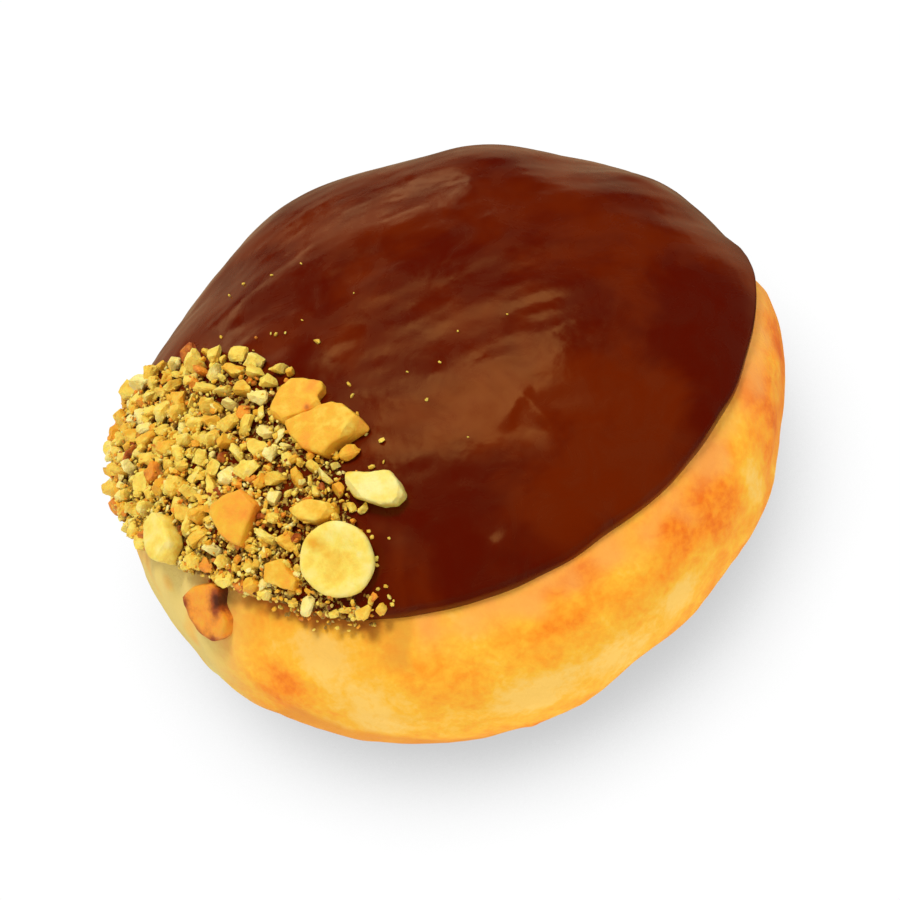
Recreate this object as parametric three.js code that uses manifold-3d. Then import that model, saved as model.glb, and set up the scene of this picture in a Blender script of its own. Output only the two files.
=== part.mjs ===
// A filled doughnut with chocolate icing and chopped nuts.
//
// A round bun of fried dough was dipped at a tilt in chocolate icing, and one side of
// the icing was then pressed into chopped nuts. The bun is uncut and none of its filling
// shows, so the dough is solid. Lengths are in millimetres and angles in degrees. +Z is
// up, and the origin is the middle of the flat spot that the doughnut rests on.
//
// A place on the bun is named by its azimuth, counted from +X towards +Y, and by its
// latitude, from -90 at the bottom to 90 at the top. The nuts are on the -X side.

import * as THREE from 'three';
import { mergeVertices } from 'three/addons/utils/BufferGeometryUtils.js';
import Module from 'manifold-3d';

// Dough: an upper and a lower half of a rounded, slightly squared form.
const HALF_WIDTH = 44;
const TOP_HEIGHT = 38.5;
const WAIST_HEIGHT = 17;
const BELLY_DEPTH = 18.5; // the lower half would reach this far below the waist if it had no flat spot
const UPPER_FULLNESS = 2.3; // 2 gives an ellipse, more gives a squarer shoulder
const LOWER_FULLNESS = 2.5;
const LOBES = [
  // waves round the bun, share of the half width, azimuth of a crest
  [2, 0.022, -10],
  [3, 0.009, 23],
];
const SWELLS = [
  // azimuth, latitude, spread, height (negative for a hollow)
  [8, 14, 7, -1.6],
  [25, 34, 9, -0.7],
  [42, 30, 6, -1.5],
  [58, 36, 7, 0.9],
  [72, 38, 7, -0.4],
  [95, 34, 10, 1.2],
  [110, 36, 7, 0.9],
  [125, 34, 10, -1.5],
  [150, 25, 9, -0.6],
  [214, -14, 8, 0.6],
  [243, -16, 9, 0.5],
  [262, -16, 8, 0.4],
  [287, -16, 9, -1.1],
  [310, -14, 9, -0.6],
  [340, -5, 9, -1],
  [356, 8, 7, 1.2],
];

// Icing: a skin over the dough, its edge high at the front and low at the back.
const GAP = 0.3; // kept between any two pieces
const ICING_THICKNESS = 1.4;
const LIP = 3; // degrees of latitude over which the rounded lip gains its thickness
const LIP_ROWS = [0, 0.12, 0.45, 1]; // where the lip's rows lie, as shares of it
const EDGE_MIDDLE = 19;
const EDGE_WAVES = [
  // waves round the bun, height, azimuth of a crest
  [1, 17.5, 256],
  [2, 1, 98],
  [3, 2.8, -33],
  [5, 1.1, -11],
];
const ICING_FOLDS = [
  // x, y, turn, spread along, spread across, height
  [-12, 20, -4, 14, 3.5, 0.7],
  [22, 28, -8, 12, 3.5, 0.6],
  [9, -15, 35, 12, 5, 0.4],
  [38, 14, -60, 5, 3, 0.5],
];

// Mesh steps
const AZIMUTH_STEPS = 48;
const DOUGH_ROWS = 19;
const ICING_ROWS = 11; // above the lip
const MERGE_DISTANCE = 1e-4;
const CLEARANCE_ROWS = 12;
const CLEARANCE_LEAD = 1; // degrees by which the grown lip begins below the real one

// Chopped nuts that are large enough to be pieces of their own. Each lies at its azimuth
// and latitude. An outline's points are measured east and north of there, along the
// surface. rise is how far its top stands above the icing, and lean turns it about the
// east and the north direction.
const CHIP_BEVEL = 0.45;
const CHIPS = [
  {
    name: 'nut_large_flake',
    azimuth: 216, latitude: 71, thickness: 2.4, rise: 2.4, lean: [6, -4], colour: 0xe0a83c,
    outline: [
      [-5.5, -2], [-2.5, -4], [1.5, -3.2], [2, -1], [4.2, 3],
      [2.7, 3.6], [1, 4], [-2.4, 3], [-4, 0.7],
    ],
  },
  {
    name: 'nut_small_flake',
    azimuth: 192, latitude: 73, thickness: 2, rise: 1.8, lean: [-4, 6], colour: 0xeab246,
    outline: [
      [-3.5, -1.5], [-1.7, -3.5], [0, -3.9], [1.6, -3], [2.7, -0.6],
      [2.7, 1.6], [1.9, 2.5], [0.5, 4], [-1.2, 3], [-2.8, 0.6],
    ],
  },
  {
    name: 'nut_pale_chunk',
    azimuth: 243, latitude: 62, thickness: 3, rise: 3.2, lean: [10, 6], colour: 0xf3e6a4,
    outline: [[-5, 2.2], [-3.2, -1.2], [0, -2.5], [2.4, -2.6], [3.7, -1.8], [2.6, 0.5], [1.1, 2.6]],
  },
  {
    name: 'nut_slab',
    azimuth: 224, latitude: 56, thickness: 2, rise: 2, lean: [0, 0], colour: 0xe6b245,
    outline: [
      [-3.7, 0.3], [-2.9, -0.8], [-1.2, -1.5], [1, -1.3],
      [2.4, -0.4], [3, 0.6], [2.8, 1.6], [-1.6, 1.2],
    ],
  },
  {
    name: 'nut_tan_piece',
    azimuth: 206, latitude: 49, thickness: 3, rise: 2.8, lean: [-4, 8], colour: 0xe8a850,
    outline: [
      [-3.9, -1], [-0.4, -2.7], [1.8, -2.8], [3, -2.5],
      [2.3, 0.3], [1.6, 2.9], [-1.4, 3.5], [-2.7, 1.9],
    ],
  },
  {
    name: 'nut_long_piece',
    azimuth: 190, latitude: 33, thickness: 2.4, rise: 2.4, lean: [0, -6], colour: 0xe8d070,
    outline: [[-3.3, -0.6], [-1.3, -1.8], [1.8, -2.4], [3.9, -1], [3.4, 1.8], [-1.2, 2.9], [-2.9, 1.7]],
  },
  {
    name: 'nut_small_chunk',
    azimuth: 222, latitude: 42, thickness: 2.2, rise: 2.2, lean: [0, 0], colour: 0xe8b650,
    outline: [[-2.8, 0.8], [-1.9, -1.3], [0.5, -1.4], [2.3, -1.4], [2.2, 0], [0.8, 0.8], [-0.6, 2]],
  },
  {
    name: 'nut_skin_piece',
    azimuth: 206, latitude: 25, thickness: 3, rise: 1.6, lean: [0, 4], colour: 0xc87428,
    outline: [
      [-4.5, -0.7], [-3.4, -2], [-0.5, -3.1], [2.3, -3.3], [3.5, -1.7],
      [3.3, 0.4], [1.6, 1.8], [1.1, 3.4], [-0.4, 3.8], [-3.2, 1.9],
    ],
  },
];

// The round half of a nut: its flat cut face, slightly hollow, is turned outwards.
const HALF_NUT = { name: 'nut_half', azimuth: 234, latitude: 47, rise: 2.4, lean: [12, 4], colour: 0xecd278 };
const HALF_NUT_STEPS = 20;
const HALF_NUT_RIM = -0.6; // what is higher belongs to the cut face
const HALF_NUT_PROFILE = [
  // radius, height over the rim
  [0, -4.2],
  [2.6, -3.8],
  [4.1, -2.4],
  [4.8, -0.8],
  [4.6, -0.1],
  [3.9, 0],
  [2.4, -0.4],
  [0, -0.5],
];

// Small grains of nut, fused to the icing inside an upright cylinder at the -X side.
const PATCH_CENTRE = [-52, -14];
const PATCH_RADIUS = 38;
const PATCH_FRAY = 2; // the patch's edge wanders by this much
const PATCH_AZIMUTHS = [126, 262];
const PATCH_TOP = 84; // latitude that no grain reaches
const GRAIN_COUNT = 620;
const GRAIN_TRIES = 60;
const LARGEST_GRAIN = 4.4;
const SMALLEST_GRAIN = 1.9;
const GRAIN_TAPER = 0.45; // below 1, the small sizes are the most
const ROUNDER_GRAIN = 3; // grains above this size have twenty faces, the others twelve
const GRAIN_WIDTHS = [0.75, 1]; // as shares of a grain's length
const GRAIN_DEPTHS = [0.6, 0.85];
const GRAIN_UNEVENNESS = 0.25; // how far a corner may be drawn in
const GRAIN_SPACING = 0.64; // least distance between two grains, as a share of their mean size
const GRAIN_STAND = 0.22; // how far a grain's middle is above the icing, as a share of its size
const GRAIN_CLEARANCE = 0.1; // between a grain and the gap round the dough
const PLACE_SEED = 41;
const SHAPE_SEED = 5;

const { degToRad, lerp, clamp } = THREE.MathUtils;

const wasm = await Module();
wasm.setup();

// ---- The form of the bun --------------------------------------------------

// The sum of waves [count, height, crest] at an azimuth.
function waves(list, azimuth) {
  const wave = ([count, height, crest]) => height * Math.cos(degToRad(count * (azimuth - crest)));
  return list.reduce((sum, entry) => sum + wave(entry), 0);
}

// A point of the plain form: a superellipse of revolution, widened by the lobes.
function plainPoint(azimuth, latitude) {
  const u = degToRad(azimuth);
  const v = degToRad(latitude);
  const upper = latitude > 0;
  const power = 2 / (upper ? UPPER_FULLNESS : LOWER_FULLNESS);
  const reach = HALF_WIDTH * (1 + waves(LOBES, azimuth)) * Math.abs(Math.cos(v)) ** power;
  const height = (upper ? TOP_HEIGHT - WAIST_HEIGHT : -BELLY_DEPTH) * Math.abs(Math.sin(v)) ** power;
  return new THREE.Vector3(reach * Math.cos(u), reach * Math.sin(u), WAIST_HEIGHT + height);
}

// The direction in which the swells, the icing and the nuts stand out there.
function outward(azimuth, latitude) {
  const u = degToRad(azimuth);
  const v = degToRad(latitude);
  const depth = latitude > 0 ? TOP_HEIGHT - WAIST_HEIGHT : BELLY_DEPTH;
  const flat = Math.cos(v) / HALF_WIDTH;
  return new THREE.Vector3(flat * Math.cos(u), flat * Math.sin(u), Math.sin(v) / depth).normalize();
}

// The height of the dough's swells and hollows, each a soft round bump.
function swellHeight(point) {
  return SWELLS.reduce((sum, [azimuth, latitude, spread, height]) => {
    const distance = plainPoint(azimuth, latitude).distanceTo(point);
    return sum + height * Math.exp(-(distance ** 2) / (2 * spread ** 2));
  }, 0);
}

// A point of the dough's surface, moved outwards by lift and never below the floor.
function doughPoint(azimuth, latitude, lift = 0) {
  const point = plainPoint(azimuth, latitude);
  point.addScaledVector(outward(azimuth, latitude), swellHeight(point) + lift);
  point.z = Math.max(point.z, 0);
  return point;
}

// ---- The icing's form -----------------------------------------------------

function icingEdge(azimuth) {
  return EDGE_MIDDLE + waves(EDGE_WAVES, azimuth);
}

// Height of the icing's long soft folds.
function foldHeight(point) {
  const pivot = new THREE.Vector2();
  return ICING_FOLDS.reduce((sum, [x, y, turn, along, across, height]) => {
    const offset = new THREE.Vector2(point.x - x, point.y - y).rotateAround(pivot, degToRad(-turn));
    return sum + height * Math.exp(-((offset.x / along) ** 2 + (offset.y / across) ** 2) / 2);
  }, 0);
}

// How thick the icing is at a number of degrees above its edge: a quarter round, then level.
function icingDepth(azimuth, latitude, aboveEdge) {
  const rest = 1 - clamp(aboveEdge / LIP, 0, 1);
  return (ICING_THICKNESS + foldHeight(plainPoint(azimuth, latitude))) * Math.sqrt(1 - rest ** 2);
}

// A point on the icing's outer face, or on a face that is grown outwards from it.
function icingPoint(azimuth, latitude, edge = icingEdge(azimuth), grown = 0) {
  return doughPoint(azimuth, latitude, GAP + grown + icingDepth(azimuth, latitude, latitude - edge));
}

// ---- Meshes ---------------------------------------------------------------

// A closed surface through rows of points. Each row goes once round by azimuth, and the
// first and the last point close the two ends. Rows that climb on the outside face out.
function closedSurface(first, rows, last) {
  const around = rows[0].length;
  const points = [first, ...rows.flat(), last];
  const faces = [];
  const at = (row, step) => 1 + row * around + (step % around);
  for (let step = 0; step < around; step += 1) {
    faces.push(0, at(0, step + 1), at(0, step));
    for (let row = 0; row + 1 < rows.length; row += 1) {
      faces.push(at(row, step), at(row, step + 1), at(row + 1, step + 1));
      faces.push(at(row, step), at(row + 1, step + 1), at(row + 1, step));
    }
    faces.push(points.length - 1, at(rows.length - 1, step), at(rows.length - 1, step + 1));
  }
  const geometry = new THREE.BufferGeometry().setFromPoints(points);
  return geometry.setIndex(faces);
}

// One row of points, from a function of the azimuth.
function row(pointAt) {
  return Array.from({ length: AZIMUTH_STEPS }, (_, step) => pointAt((step * 360) / AZIMUTH_STEPS));
}

function signedVolume(geometry) {
  const { position } = geometry.attributes;
  const faces = geometry.index.array;
  let sum = 0;
  for (let i = 0; i < faces.length; i += 3) {
    const [a, b, c] = [0, 1, 2].map((k) => new THREE.Vector3().fromBufferAttribute(position, faces[i + k]));
    sum += a.dot(b.cross(c)) / 6;
  }
  return sum;
}

// A solid for joining and cutting, from any closed mesh.
function toSolid(geometry) {
  const bare = geometry.clone();
  bare.deleteAttribute('normal');
  bare.deleteAttribute('uv');
  const merged = mergeVertices(bare, MERGE_DISTANCE);
  const triVerts = Uint32Array.from(merged.index.array);
  if (signedVolume(merged) < 0) triVerts.reverse();
  const vertProperties = Float32Array.from(merged.attributes.position.array);
  return new wasm.Manifold(new wasm.Mesh({ numProp: 3, vertProperties, triVerts }));
}

function toGeometry(solid) {
  const { vertProperties, triVerts } = solid.getMesh();
  const geometry = new THREE.BufferGeometry();
  geometry.setAttribute('position', new THREE.Float32BufferAttribute(vertProperties, 3));
  geometry.setIndex(Array.from(triVerts));
  return mergeVertices(geometry, MERGE_DISTANCE);
}

// The body with the most volume, so that loose scraps and the walls of sealed hollows go.
function largestBody(geometry) {
  const faces = geometry.index.array;
  const parent = Array.from({ length: geometry.attributes.position.count }, (_, i) => i);
  const root = (i) => {
    let at = i;
    while (parent[at] !== at) at = parent[at];
    parent[i] = at;
    return at;
  };
  const bodies = new Map();
  for (let i = 0; i < faces.length; i += 3) {
    parent[root(faces[i])] = root(faces[i + 1]);
    parent[root(faces[i + 1])] = root(faces[i + 2]);
  }
  for (let i = 0; i < faces.length; i += 3) {
    const key = root(faces[i]);
    if (!bodies.has(key)) bodies.set(key, []);
    bodies.get(key).push(faces[i], faces[i + 1], faces[i + 2]);
  }
  const parts = [...bodies.values()].map((list) => {
    const body = new THREE.BufferGeometry();
    body.setAttribute('position', geometry.attributes.position);
    return body.setIndex(list);
  });
  const largest = parts.reduce((best, body) => (signedVolume(body) > signedVolume(best) ? body : best));
  return mergeVertices(largest.toNonIndexed(), MERGE_DISTANCE);
}

// ---- Dough ----------------------------------------------------------------

// The latitude at which the plain form reaches the floor, where the flat spot begins.
function flatSpotLatitude() {
  const sine = (WAIST_HEIGHT / BELLY_DEPTH) ** (LOWER_FULLNESS / 2);
  return -THREE.MathUtils.radToDeg(Math.asin(sine));
}

function doughGeometry() {
  const low = flatSpotLatitude();
  const rows = Array.from({ length: DOUGH_ROWS }, (_, k) => {
    const latitude = lerp(low, 90, k / DOUGH_ROWS);
    return row((azimuth) => {
      const point = doughPoint(azimuth, latitude);
      if (k === 0) point.z = 0;
      return point;
    });
  });
  return closedSurface(new THREE.Vector3(), rows, doughPoint(0, 90));
}

// ---- Icing ----------------------------------------------------------------

// Latitudes from an edge up: the lip's rows, then even steps that stop short of the pole.
function icingLatitudes(edge) {
  const lip = LIP_ROWS.map((share) => edge + share * LIP);
  const dome = Array.from({ length: ICING_ROWS }, (_, k) => lerp(edge + LIP, 90, (k + 1) / (ICING_ROWS + 1)));
  return [...lip, ...dome];
}

// The rows of an outer face of the icing whose edge is lowered and which is grown outwards.
function icingRows(lowered = 0, grown = 0) {
  return Array.from({ length: LIP_ROWS.length + ICING_ROWS }, (_, k) => row((azimuth) => {
    const edge = icingEdge(azimuth) - lowered;
    return icingPoint(azimuth, icingLatitudes(edge)[k], edge, grown);
  }));
}

// The cap: its outer face, and its inner face from the pole down to where the lip starts.
function icingCap() {
  const inner = Array.from({ length: ICING_ROWS }, (_, k) => row((azimuth) => {
    const latitude = icingLatitudes(icingEdge(azimuth))[LIP_ROWS.length + k];
    return doughPoint(azimuth, latitude, GAP);
  }));
  return closedSurface(doughPoint(0, 90, GAP), [...inner.reverse(), ...icingRows()], icingPoint(0, 90));
}

// The dough with its icing, grown by the gap: what a nut piece has to stay clear of.
function clearanceSolid() {
  const low = flatSpotLatitude();
  const sideRows = Array.from({ length: CLEARANCE_ROWS }, (_, k) => row((azimuth) => {
    const latitude = lerp(low, icingEdge(azimuth) - CLEARANCE_LEAD, k / CLEARANCE_ROWS);
    return doughPoint(azimuth, latitude, GAP);
  }));
  const rows = [...sideRows, ...icingRows(CLEARANCE_LEAD, GAP)];
  return toSolid(closedSurface(new THREE.Vector3(), rows, icingPoint(0, 90, 0, GAP)));
}

// ---- Nut pieces -----------------------------------------------------------

// What moves a piece that was made flat, its top at z = 0, to its place on the icing.
function seatMatrix({ azimuth, latitude, rise, lean }) {
  const u = degToRad(azimuth);
  const out = outward(azimuth, latitude);
  const east = new THREE.Vector3(-Math.sin(u), Math.cos(u), 0);
  const north = new THREE.Vector3().crossVectors(out, east);
  const matrix = new THREE.Matrix4().makeBasis(east, north, out);
  matrix.multiply(new THREE.Matrix4().makeRotationY(degToRad(lean[1])));
  matrix.multiply(new THREE.Matrix4().makeRotationX(degToRad(lean[0])));
  return matrix.setPosition(icingPoint(azimuth, latitude).addScaledVector(out, rise));
}

// A broken chip: its outline, with bevelled rims, grown all round by some clearance.
function chipGeometry(chip, grow = 0) {
  const shape = new THREE.Shape(chip.outline.map(([east, north]) => new THREE.Vector2(east, north)));
  const depth = chip.thickness - 2 * CHIP_BEVEL + 2 * grow;
  const geometry = new THREE.ExtrudeGeometry(shape, {
    depth,
    bevelThickness: CHIP_BEVEL,
    bevelSize: CHIP_BEVEL,
    bevelOffset: grow - CHIP_BEVEL,
    bevelSegments: 1,
  });
  geometry.translate(0, 0, grow - depth - CHIP_BEVEL);
  return geometry.applyMatrix4(seatMatrix(chip));
}

function halfNutGeometry(nut, grow = 0) {
  const profile = HALF_NUT_PROFILE.map(([radius, height]) => {
    const side = height > HALF_NUT_RIM ? grow : -grow;
    return new THREE.Vector2(radius === 0 ? 0 : radius + grow, height + side);
  });
  const geometry = new THREE.LatheGeometry(profile, HALF_NUT_STEPS);
  geometry.rotateX(Math.PI / 2);
  return geometry.applyMatrix4(seatMatrix(nut));
}

// The outline of a nut piece before it is seated, seen from above.
function rim(nut) {
  if (nut.outline) return nut.outline.map(([east, north]) => new THREE.Vector3(east, north, 0));
  const radius = Math.max(...HALF_NUT_PROFILE.map(([reach]) => reach));
  const turns = Array.from({ length: HALF_NUT_STEPS }, (_, step) => (2 * Math.PI * step) / HALF_NUT_STEPS);
  return turns.map((turn) => new THREE.Vector3(Math.cos(turn), Math.sin(turn), 0).multiplyScalar(radius));
}

// How far a point lies outside a closed outline, both seen from above, and 0 inside it.
function distanceOutside(point, outline) {
  const flat = point.clone().setZ(0);
  const nearest = new THREE.Vector3();
  let distance = Infinity;
  let inside = false;
  outline.forEach((start, index) => {
    const end = outline[(index + 1) % outline.length];
    new THREE.Line3(start, end).closestPointToPoint(flat, true, nearest);
    distance = Math.min(distance, nearest.distanceTo(flat));
    const crosses = start.y > flat.y !== end.y > flat.y;
    const crossing = lerp(start.x, end.x, (flat.y - start.y) / (end.y - start.y));
    if (crosses && flat.x < crossing) inside = !inside;
  });
  return inside ? 0 : distance;
}

// ---- Grains ---------------------------------------------------------------

// A repeatable run of numbers from 0 to 1.
function seededRandom(seed) {
  let state = seed;
  return () => {
    state = (state + 0x6d2b79f5) | 0;
    let t = Math.imul(state ^ (state >>> 15), 1 | state);
    t = (t + Math.imul(t ^ (t >>> 7), 61 | t)) ^ t;
    return ((t ^ (t >>> 14)) >>> 0) / 4294967296;
  };
}

// An uneven crumb of nut whose farthest corner is half its size from the middle.
function grainGeometry(size, random) {
  const plain = size > ROUNDER_GRAIN ? new THREE.IcosahedronGeometry(1, 0) : new THREE.BoxGeometry(1, 1, 1);
  plain.deleteAttribute('normal');
  plain.deleteAttribute('uv');
  const geometry = mergeVertices(plain, MERGE_DISTANCE);
  const { position } = geometry.attributes;
  const stretch = new THREE.Vector3(1, lerp(...GRAIN_WIDTHS, random()), lerp(...GRAIN_DEPTHS, random()));
  for (let i = 0; i < position.count; i += 1) {
    const corner = new THREE.Vector3().fromBufferAttribute(position, i).normalize();
    corner.multiply(stretch).multiplyScalar((size / 2) * (1 - GRAIN_UNEVENNESS * random()));
    position.setXYZ(i, corner.x, corner.y, corner.z);
  }
  const turn = new THREE.Euler(random() * Math.PI, random() * Math.PI, random() * Math.PI);
  return geometry.applyMatrix4(new THREE.Matrix4().makeRotationFromEuler(turn));
}

// The middle of a grain that is thrown at the patch: sunk into the icing, clear of the dough.
function grainCentre(size, random) {
  const azimuth = lerp(...PATCH_AZIMUTHS, random());
  const edge = icingEdge(azimuth);
  const latitude = lerp(edge + LIP / 2, PATCH_TOP, random());
  const onIcing = GAP + icingDepth(azimuth, latitude, latitude - edge) + GRAIN_STAND * size;
  const overDough = GAP + GRAIN_CLEARANCE + size / 2;
  return doughPoint(azimuth, latitude, Math.max(onIcing, overDough));
}

function inPatch(point, wander) {
  const distance = Math.hypot(point.x - PATCH_CENTRE[0], point.y - PATCH_CENTRE[1]);
  return distance < PATCH_RADIUS + wander * PATCH_FRAY;
}

// Where grains lie, the largest first. One stays where it is clear of the grains before it
// and of the nut pieces, and one that finds no such place in its tries is left out.
function grainPlaces(nuts) {
  const random = seededRandom(PLACE_SEED);
  const seats = nuts.map((nut) => ({ outline: rim(nut), inverse: seatMatrix(nut).invert() }));
  const placed = [];
  for (let k = 0; k < GRAIN_COUNT; k += 1) {
    const size = lerp(LARGEST_GRAIN, SMALLEST_GRAIN, (k / GRAIN_COUNT) ** GRAIN_TAPER);
    const nearGrain = (centre) => placed.some((other) => (
      centre.distanceTo(other.centre) < (GRAIN_SPACING * (size + other.size)) / 2
    ));
    const nearNut = (centre) => seats.some(({ outline, inverse }) => (
      distanceOutside(centre.clone().applyMatrix4(inverse), outline) < size / 2 + GAP
    ));
    for (let attempt = 0; attempt < GRAIN_TRIES; attempt += 1) {
      const centre = grainCentre(size, random);
      const inside = inPatch(centre, 2 * random() - 1);
      if (!inside || nearGrain(centre) || nearNut(centre)) continue;
      placed.push({ centre, size });
      break;
    }
  }
  return placed;
}

// ---- The doughnut ---------------------------------------------------------

function piece(name, geometry, colour, roughness) {
  const finished = geometry.toNonIndexed();
  finished.computeVertexNormals();
  const material = new THREE.MeshStandardMaterial({ color: colour, roughness, metalness: 0 });
  const mesh = new THREE.Mesh(finished, material);
  mesh.name = name;
  return mesh;
}

const nuts = [
  ...CHIPS.map((chip) => ({ ...chip, make: (grow) => toSolid(chipGeometry(chip, grow)) })),
  { ...HALF_NUT, make: (grow) => toSolid(halfNutGeometry(HALF_NUT, grow)) },
];
const grownNuts = nuts.map((nut) => nut.make(GAP));
const clearance = clearanceSolid();

const doughnut = new THREE.Group();
doughnut.name = 'filled_doughnut';
doughnut.add(piece('dough', doughGeometry(), 0xe2a14a, 0.7));

const random = seededRandom(SHAPE_SEED);
const icing = grainPlaces(nuts).reduce((sum, { centre, size }) => {
  const grain = grainGeometry(size, random).translate(centre.x, centre.y, centre.z);
  return sum.add(toSolid(grain));
}, toSolid(icingCap()));
doughnut.add(piece('icing', largestBody(toGeometry(icing)), 0x5a2a14, 0.35));

nuts.forEach((nut, index) => {
  const clear = nut.make(0).subtract(clearance);
  const body = grownNuts.slice(0, index).reduce((sum, other) => sum.subtract(other), clear);
  doughnut.add(piece(nut.name, largestBody(toGeometry(body)), nut.colour, 0.6));
});

export default doughnut;
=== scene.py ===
"""A filled doughnut: its fried crust, chocolate icing and chopped nuts, dressed round the fixed frame.

All lengths are in metres and all angles in degrees. A place on the bun is named by its azimuth,
counted from +X towards +Y, and by its latitude, from -90 at the bottom to 90 at the top. Every
form is a function of those two, worked out as whole arrays.
"""

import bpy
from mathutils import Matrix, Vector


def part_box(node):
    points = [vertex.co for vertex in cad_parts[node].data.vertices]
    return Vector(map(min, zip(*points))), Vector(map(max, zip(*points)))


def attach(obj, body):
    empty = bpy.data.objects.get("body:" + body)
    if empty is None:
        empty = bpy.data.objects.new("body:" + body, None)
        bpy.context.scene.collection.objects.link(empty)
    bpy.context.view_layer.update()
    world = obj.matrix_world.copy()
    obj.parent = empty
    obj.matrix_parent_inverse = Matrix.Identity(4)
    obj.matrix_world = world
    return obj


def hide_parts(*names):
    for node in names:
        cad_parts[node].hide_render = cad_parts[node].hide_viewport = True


bl_info = {
    "name": "Filled doughnut",
    "version": (1, 0, 0),
    "blender": (4, 5, 0),
    "location": "View3D > Sidebar > Doughnut",
    "description": "Makes the crust, icing and chopped nuts of a filled doughnut",
    "category": "Add Mesh",
}

import math

import bpy
import numpy as np
from mathutils import Matrix, Vector

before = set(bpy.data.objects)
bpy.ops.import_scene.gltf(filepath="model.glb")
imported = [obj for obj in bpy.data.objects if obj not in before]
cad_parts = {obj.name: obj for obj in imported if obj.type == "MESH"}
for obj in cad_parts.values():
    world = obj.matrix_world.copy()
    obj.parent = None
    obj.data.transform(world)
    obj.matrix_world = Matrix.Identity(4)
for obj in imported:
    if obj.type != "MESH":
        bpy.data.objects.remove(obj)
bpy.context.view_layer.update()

MM = 0.001
BODY = "root"
DOUGH_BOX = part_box("dough")

# ---- Sizes of the bun, its icing and its nuts, as in the solids ------------------------------

HALF_WIDTH = 44 * MM
TOP_HEIGHT = DOUGH_BOX[1].z
WAIST_HEIGHT = 17 * MM
BELLY_DEPTH = 18.5 * MM
UPPER_FULLNESS = 2.3
LOWER_FULLNESS = 2.5
LOBES = [(2, 0.022, -10), (3, 0.009, 23)]  # waves round the bun, share of its half width, crest
SWELLS = [  # azimuth, latitude, spread, height
    (8, 14, 7 * MM, -1.6 * MM),
    (25, 34, 9 * MM, -0.7 * MM),
    (42, 30, 6 * MM, -1.5 * MM),
    (58, 36, 7 * MM, 0.9 * MM),
    (72, 38, 7 * MM, -0.4 * MM),
    (95, 34, 10 * MM, 1.2 * MM),
    (110, 36, 7 * MM, 0.9 * MM),
    (125, 34, 10 * MM, -1.5 * MM),
    (150, 25, 9 * MM, -0.6 * MM),
    (214, -14, 8 * MM, 0.6 * MM),
    (243, -16, 9 * MM, 0.5 * MM),
    (262, -16, 8 * MM, 0.4 * MM),
    (287, -16, 9 * MM, -1.1 * MM),
    (310, -14, 9 * MM, -0.6 * MM),
    (340, -5, 9 * MM, -1.0 * MM),
    (356, 8, 7 * MM, 1.2 * MM),
]

GAP = 0.3 * MM
LIP = 3  # degrees over which the icing's lip gains its thickness
EDGE_MIDDLE = 19
EDGE_WAVES = [  # waves round the bun, height, crest
    (1, 17.5, 256), (2, 1, 98), (3, 2.8, -33), (5, 1.1, -11),
]
ICING_FOLDS = [  # x, y, turn, spread along, spread across, height
    (-12 * MM, 20 * MM, -4, 14 * MM, 3.5 * MM, 0.7 * MM),
    (22 * MM, 28 * MM, -8, 12 * MM, 3.5 * MM, 0.6 * MM),
    (9 * MM, -15 * MM, 35, 12 * MM, 5 * MM, 0.4 * MM),
    (38 * MM, 14 * MM, -60, 5 * MM, 3 * MM, 0.5 * MM),
]

# name, azimuth, latitude, thickness, rise, lean about east and north, tone, outline east and north
CHIPS = [
    ("nut_large_flake", 216, 71, 2.4, 2.4, (6, -4), 0.58,
     [(-5.5, -2), (-2.5, -4), (1.5, -3.2), (2, -1), (4.2, 3), (2.7, 3.6), (1, 4), (-2.4, 3), (-4, 0.7)]),
    ("nut_small_flake", 192, 73, 2, 1.8, (-4, 6), 0.56,
     [(-3.5, -1.5), (-1.7, -3.5), (0, -3.9), (1.6, -3), (2.7, -0.6),
      (2.7, 1.6), (1.9, 2.5), (0.5, 4), (-1.2, 3), (-2.8, 0.6)]),
    ("nut_pale_chunk", 243, 62, 3, 3.2, (10, 6), 0.92,
     [(-5, 2.2), (-3.2, -1.2), (0, -2.5), (2.4, -2.6), (3.7, -1.8), (2.6, 0.5), (1.1, 2.6)]),
    ("nut_slab", 224, 56, 2, 2, (0, 0), 0.66,
     [(-3.7, 0.3), (-2.9, -0.8), (-1.2, -1.5), (1, -1.3), (2.4, -0.4), (3, 0.6), (2.8, 1.6), (-1.6, 1.2)]),
    ("nut_tan_piece", 206, 49, 3, 2.8, (-4, 8), 0.5,
     [(-3.9, -1), (-0.4, -2.7), (1.8, -2.8), (3, -2.5), (2.3, 0.3), (1.6, 2.9), (-1.4, 3.5), (-2.7, 1.9)]),
    ("nut_long_piece", 190, 33, 2.4, 2.4, (0, -6), 0.8,
     [(-3.3, -0.6), (-1.3, -1.8), (1.8, -2.4), (3.9, -1), (3.4, 1.8), (-1.2, 2.9), (-2.9, 1.7)]),
    ("nut_small_chunk", 222, 42, 2.2, 2.2, (0, 0), 0.58,
     [(-2.8, 0.8), (-1.9, -1.3), (0.5, -1.4), (2.3, -1.4), (2.2, 0), (0.8, 0.8), (-0.6, 2)]),
    ("nut_skin_piece", 206, 25, 3, 1.6, (0, 4), 0.47,
     [(-4.5, -0.7), (-3.4, -2), (-0.5, -3.1), (2.3, -3.3), (3.5, -1.7),
      (3.3, 0.4), (1.6, 1.8), (1.1, 3.4), (-0.4, 3.8), (-3.2, 1.9)]),
]
HALF_NUT = ("nut_half", 234, 47, 2.4, (12, 4), 0.88)  # name, azimuth, latitude, rise, lean, tone
HALF_NUT_PROFILE = [  # radius, height over the rim
    (0, -4.2), (2.6, -3.8), (4.1, -2.4), (4.8, -0.8), (4.6, -0.1), (3.9, 0), (2.4, -0.4), (0, -0.5),
]

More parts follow.
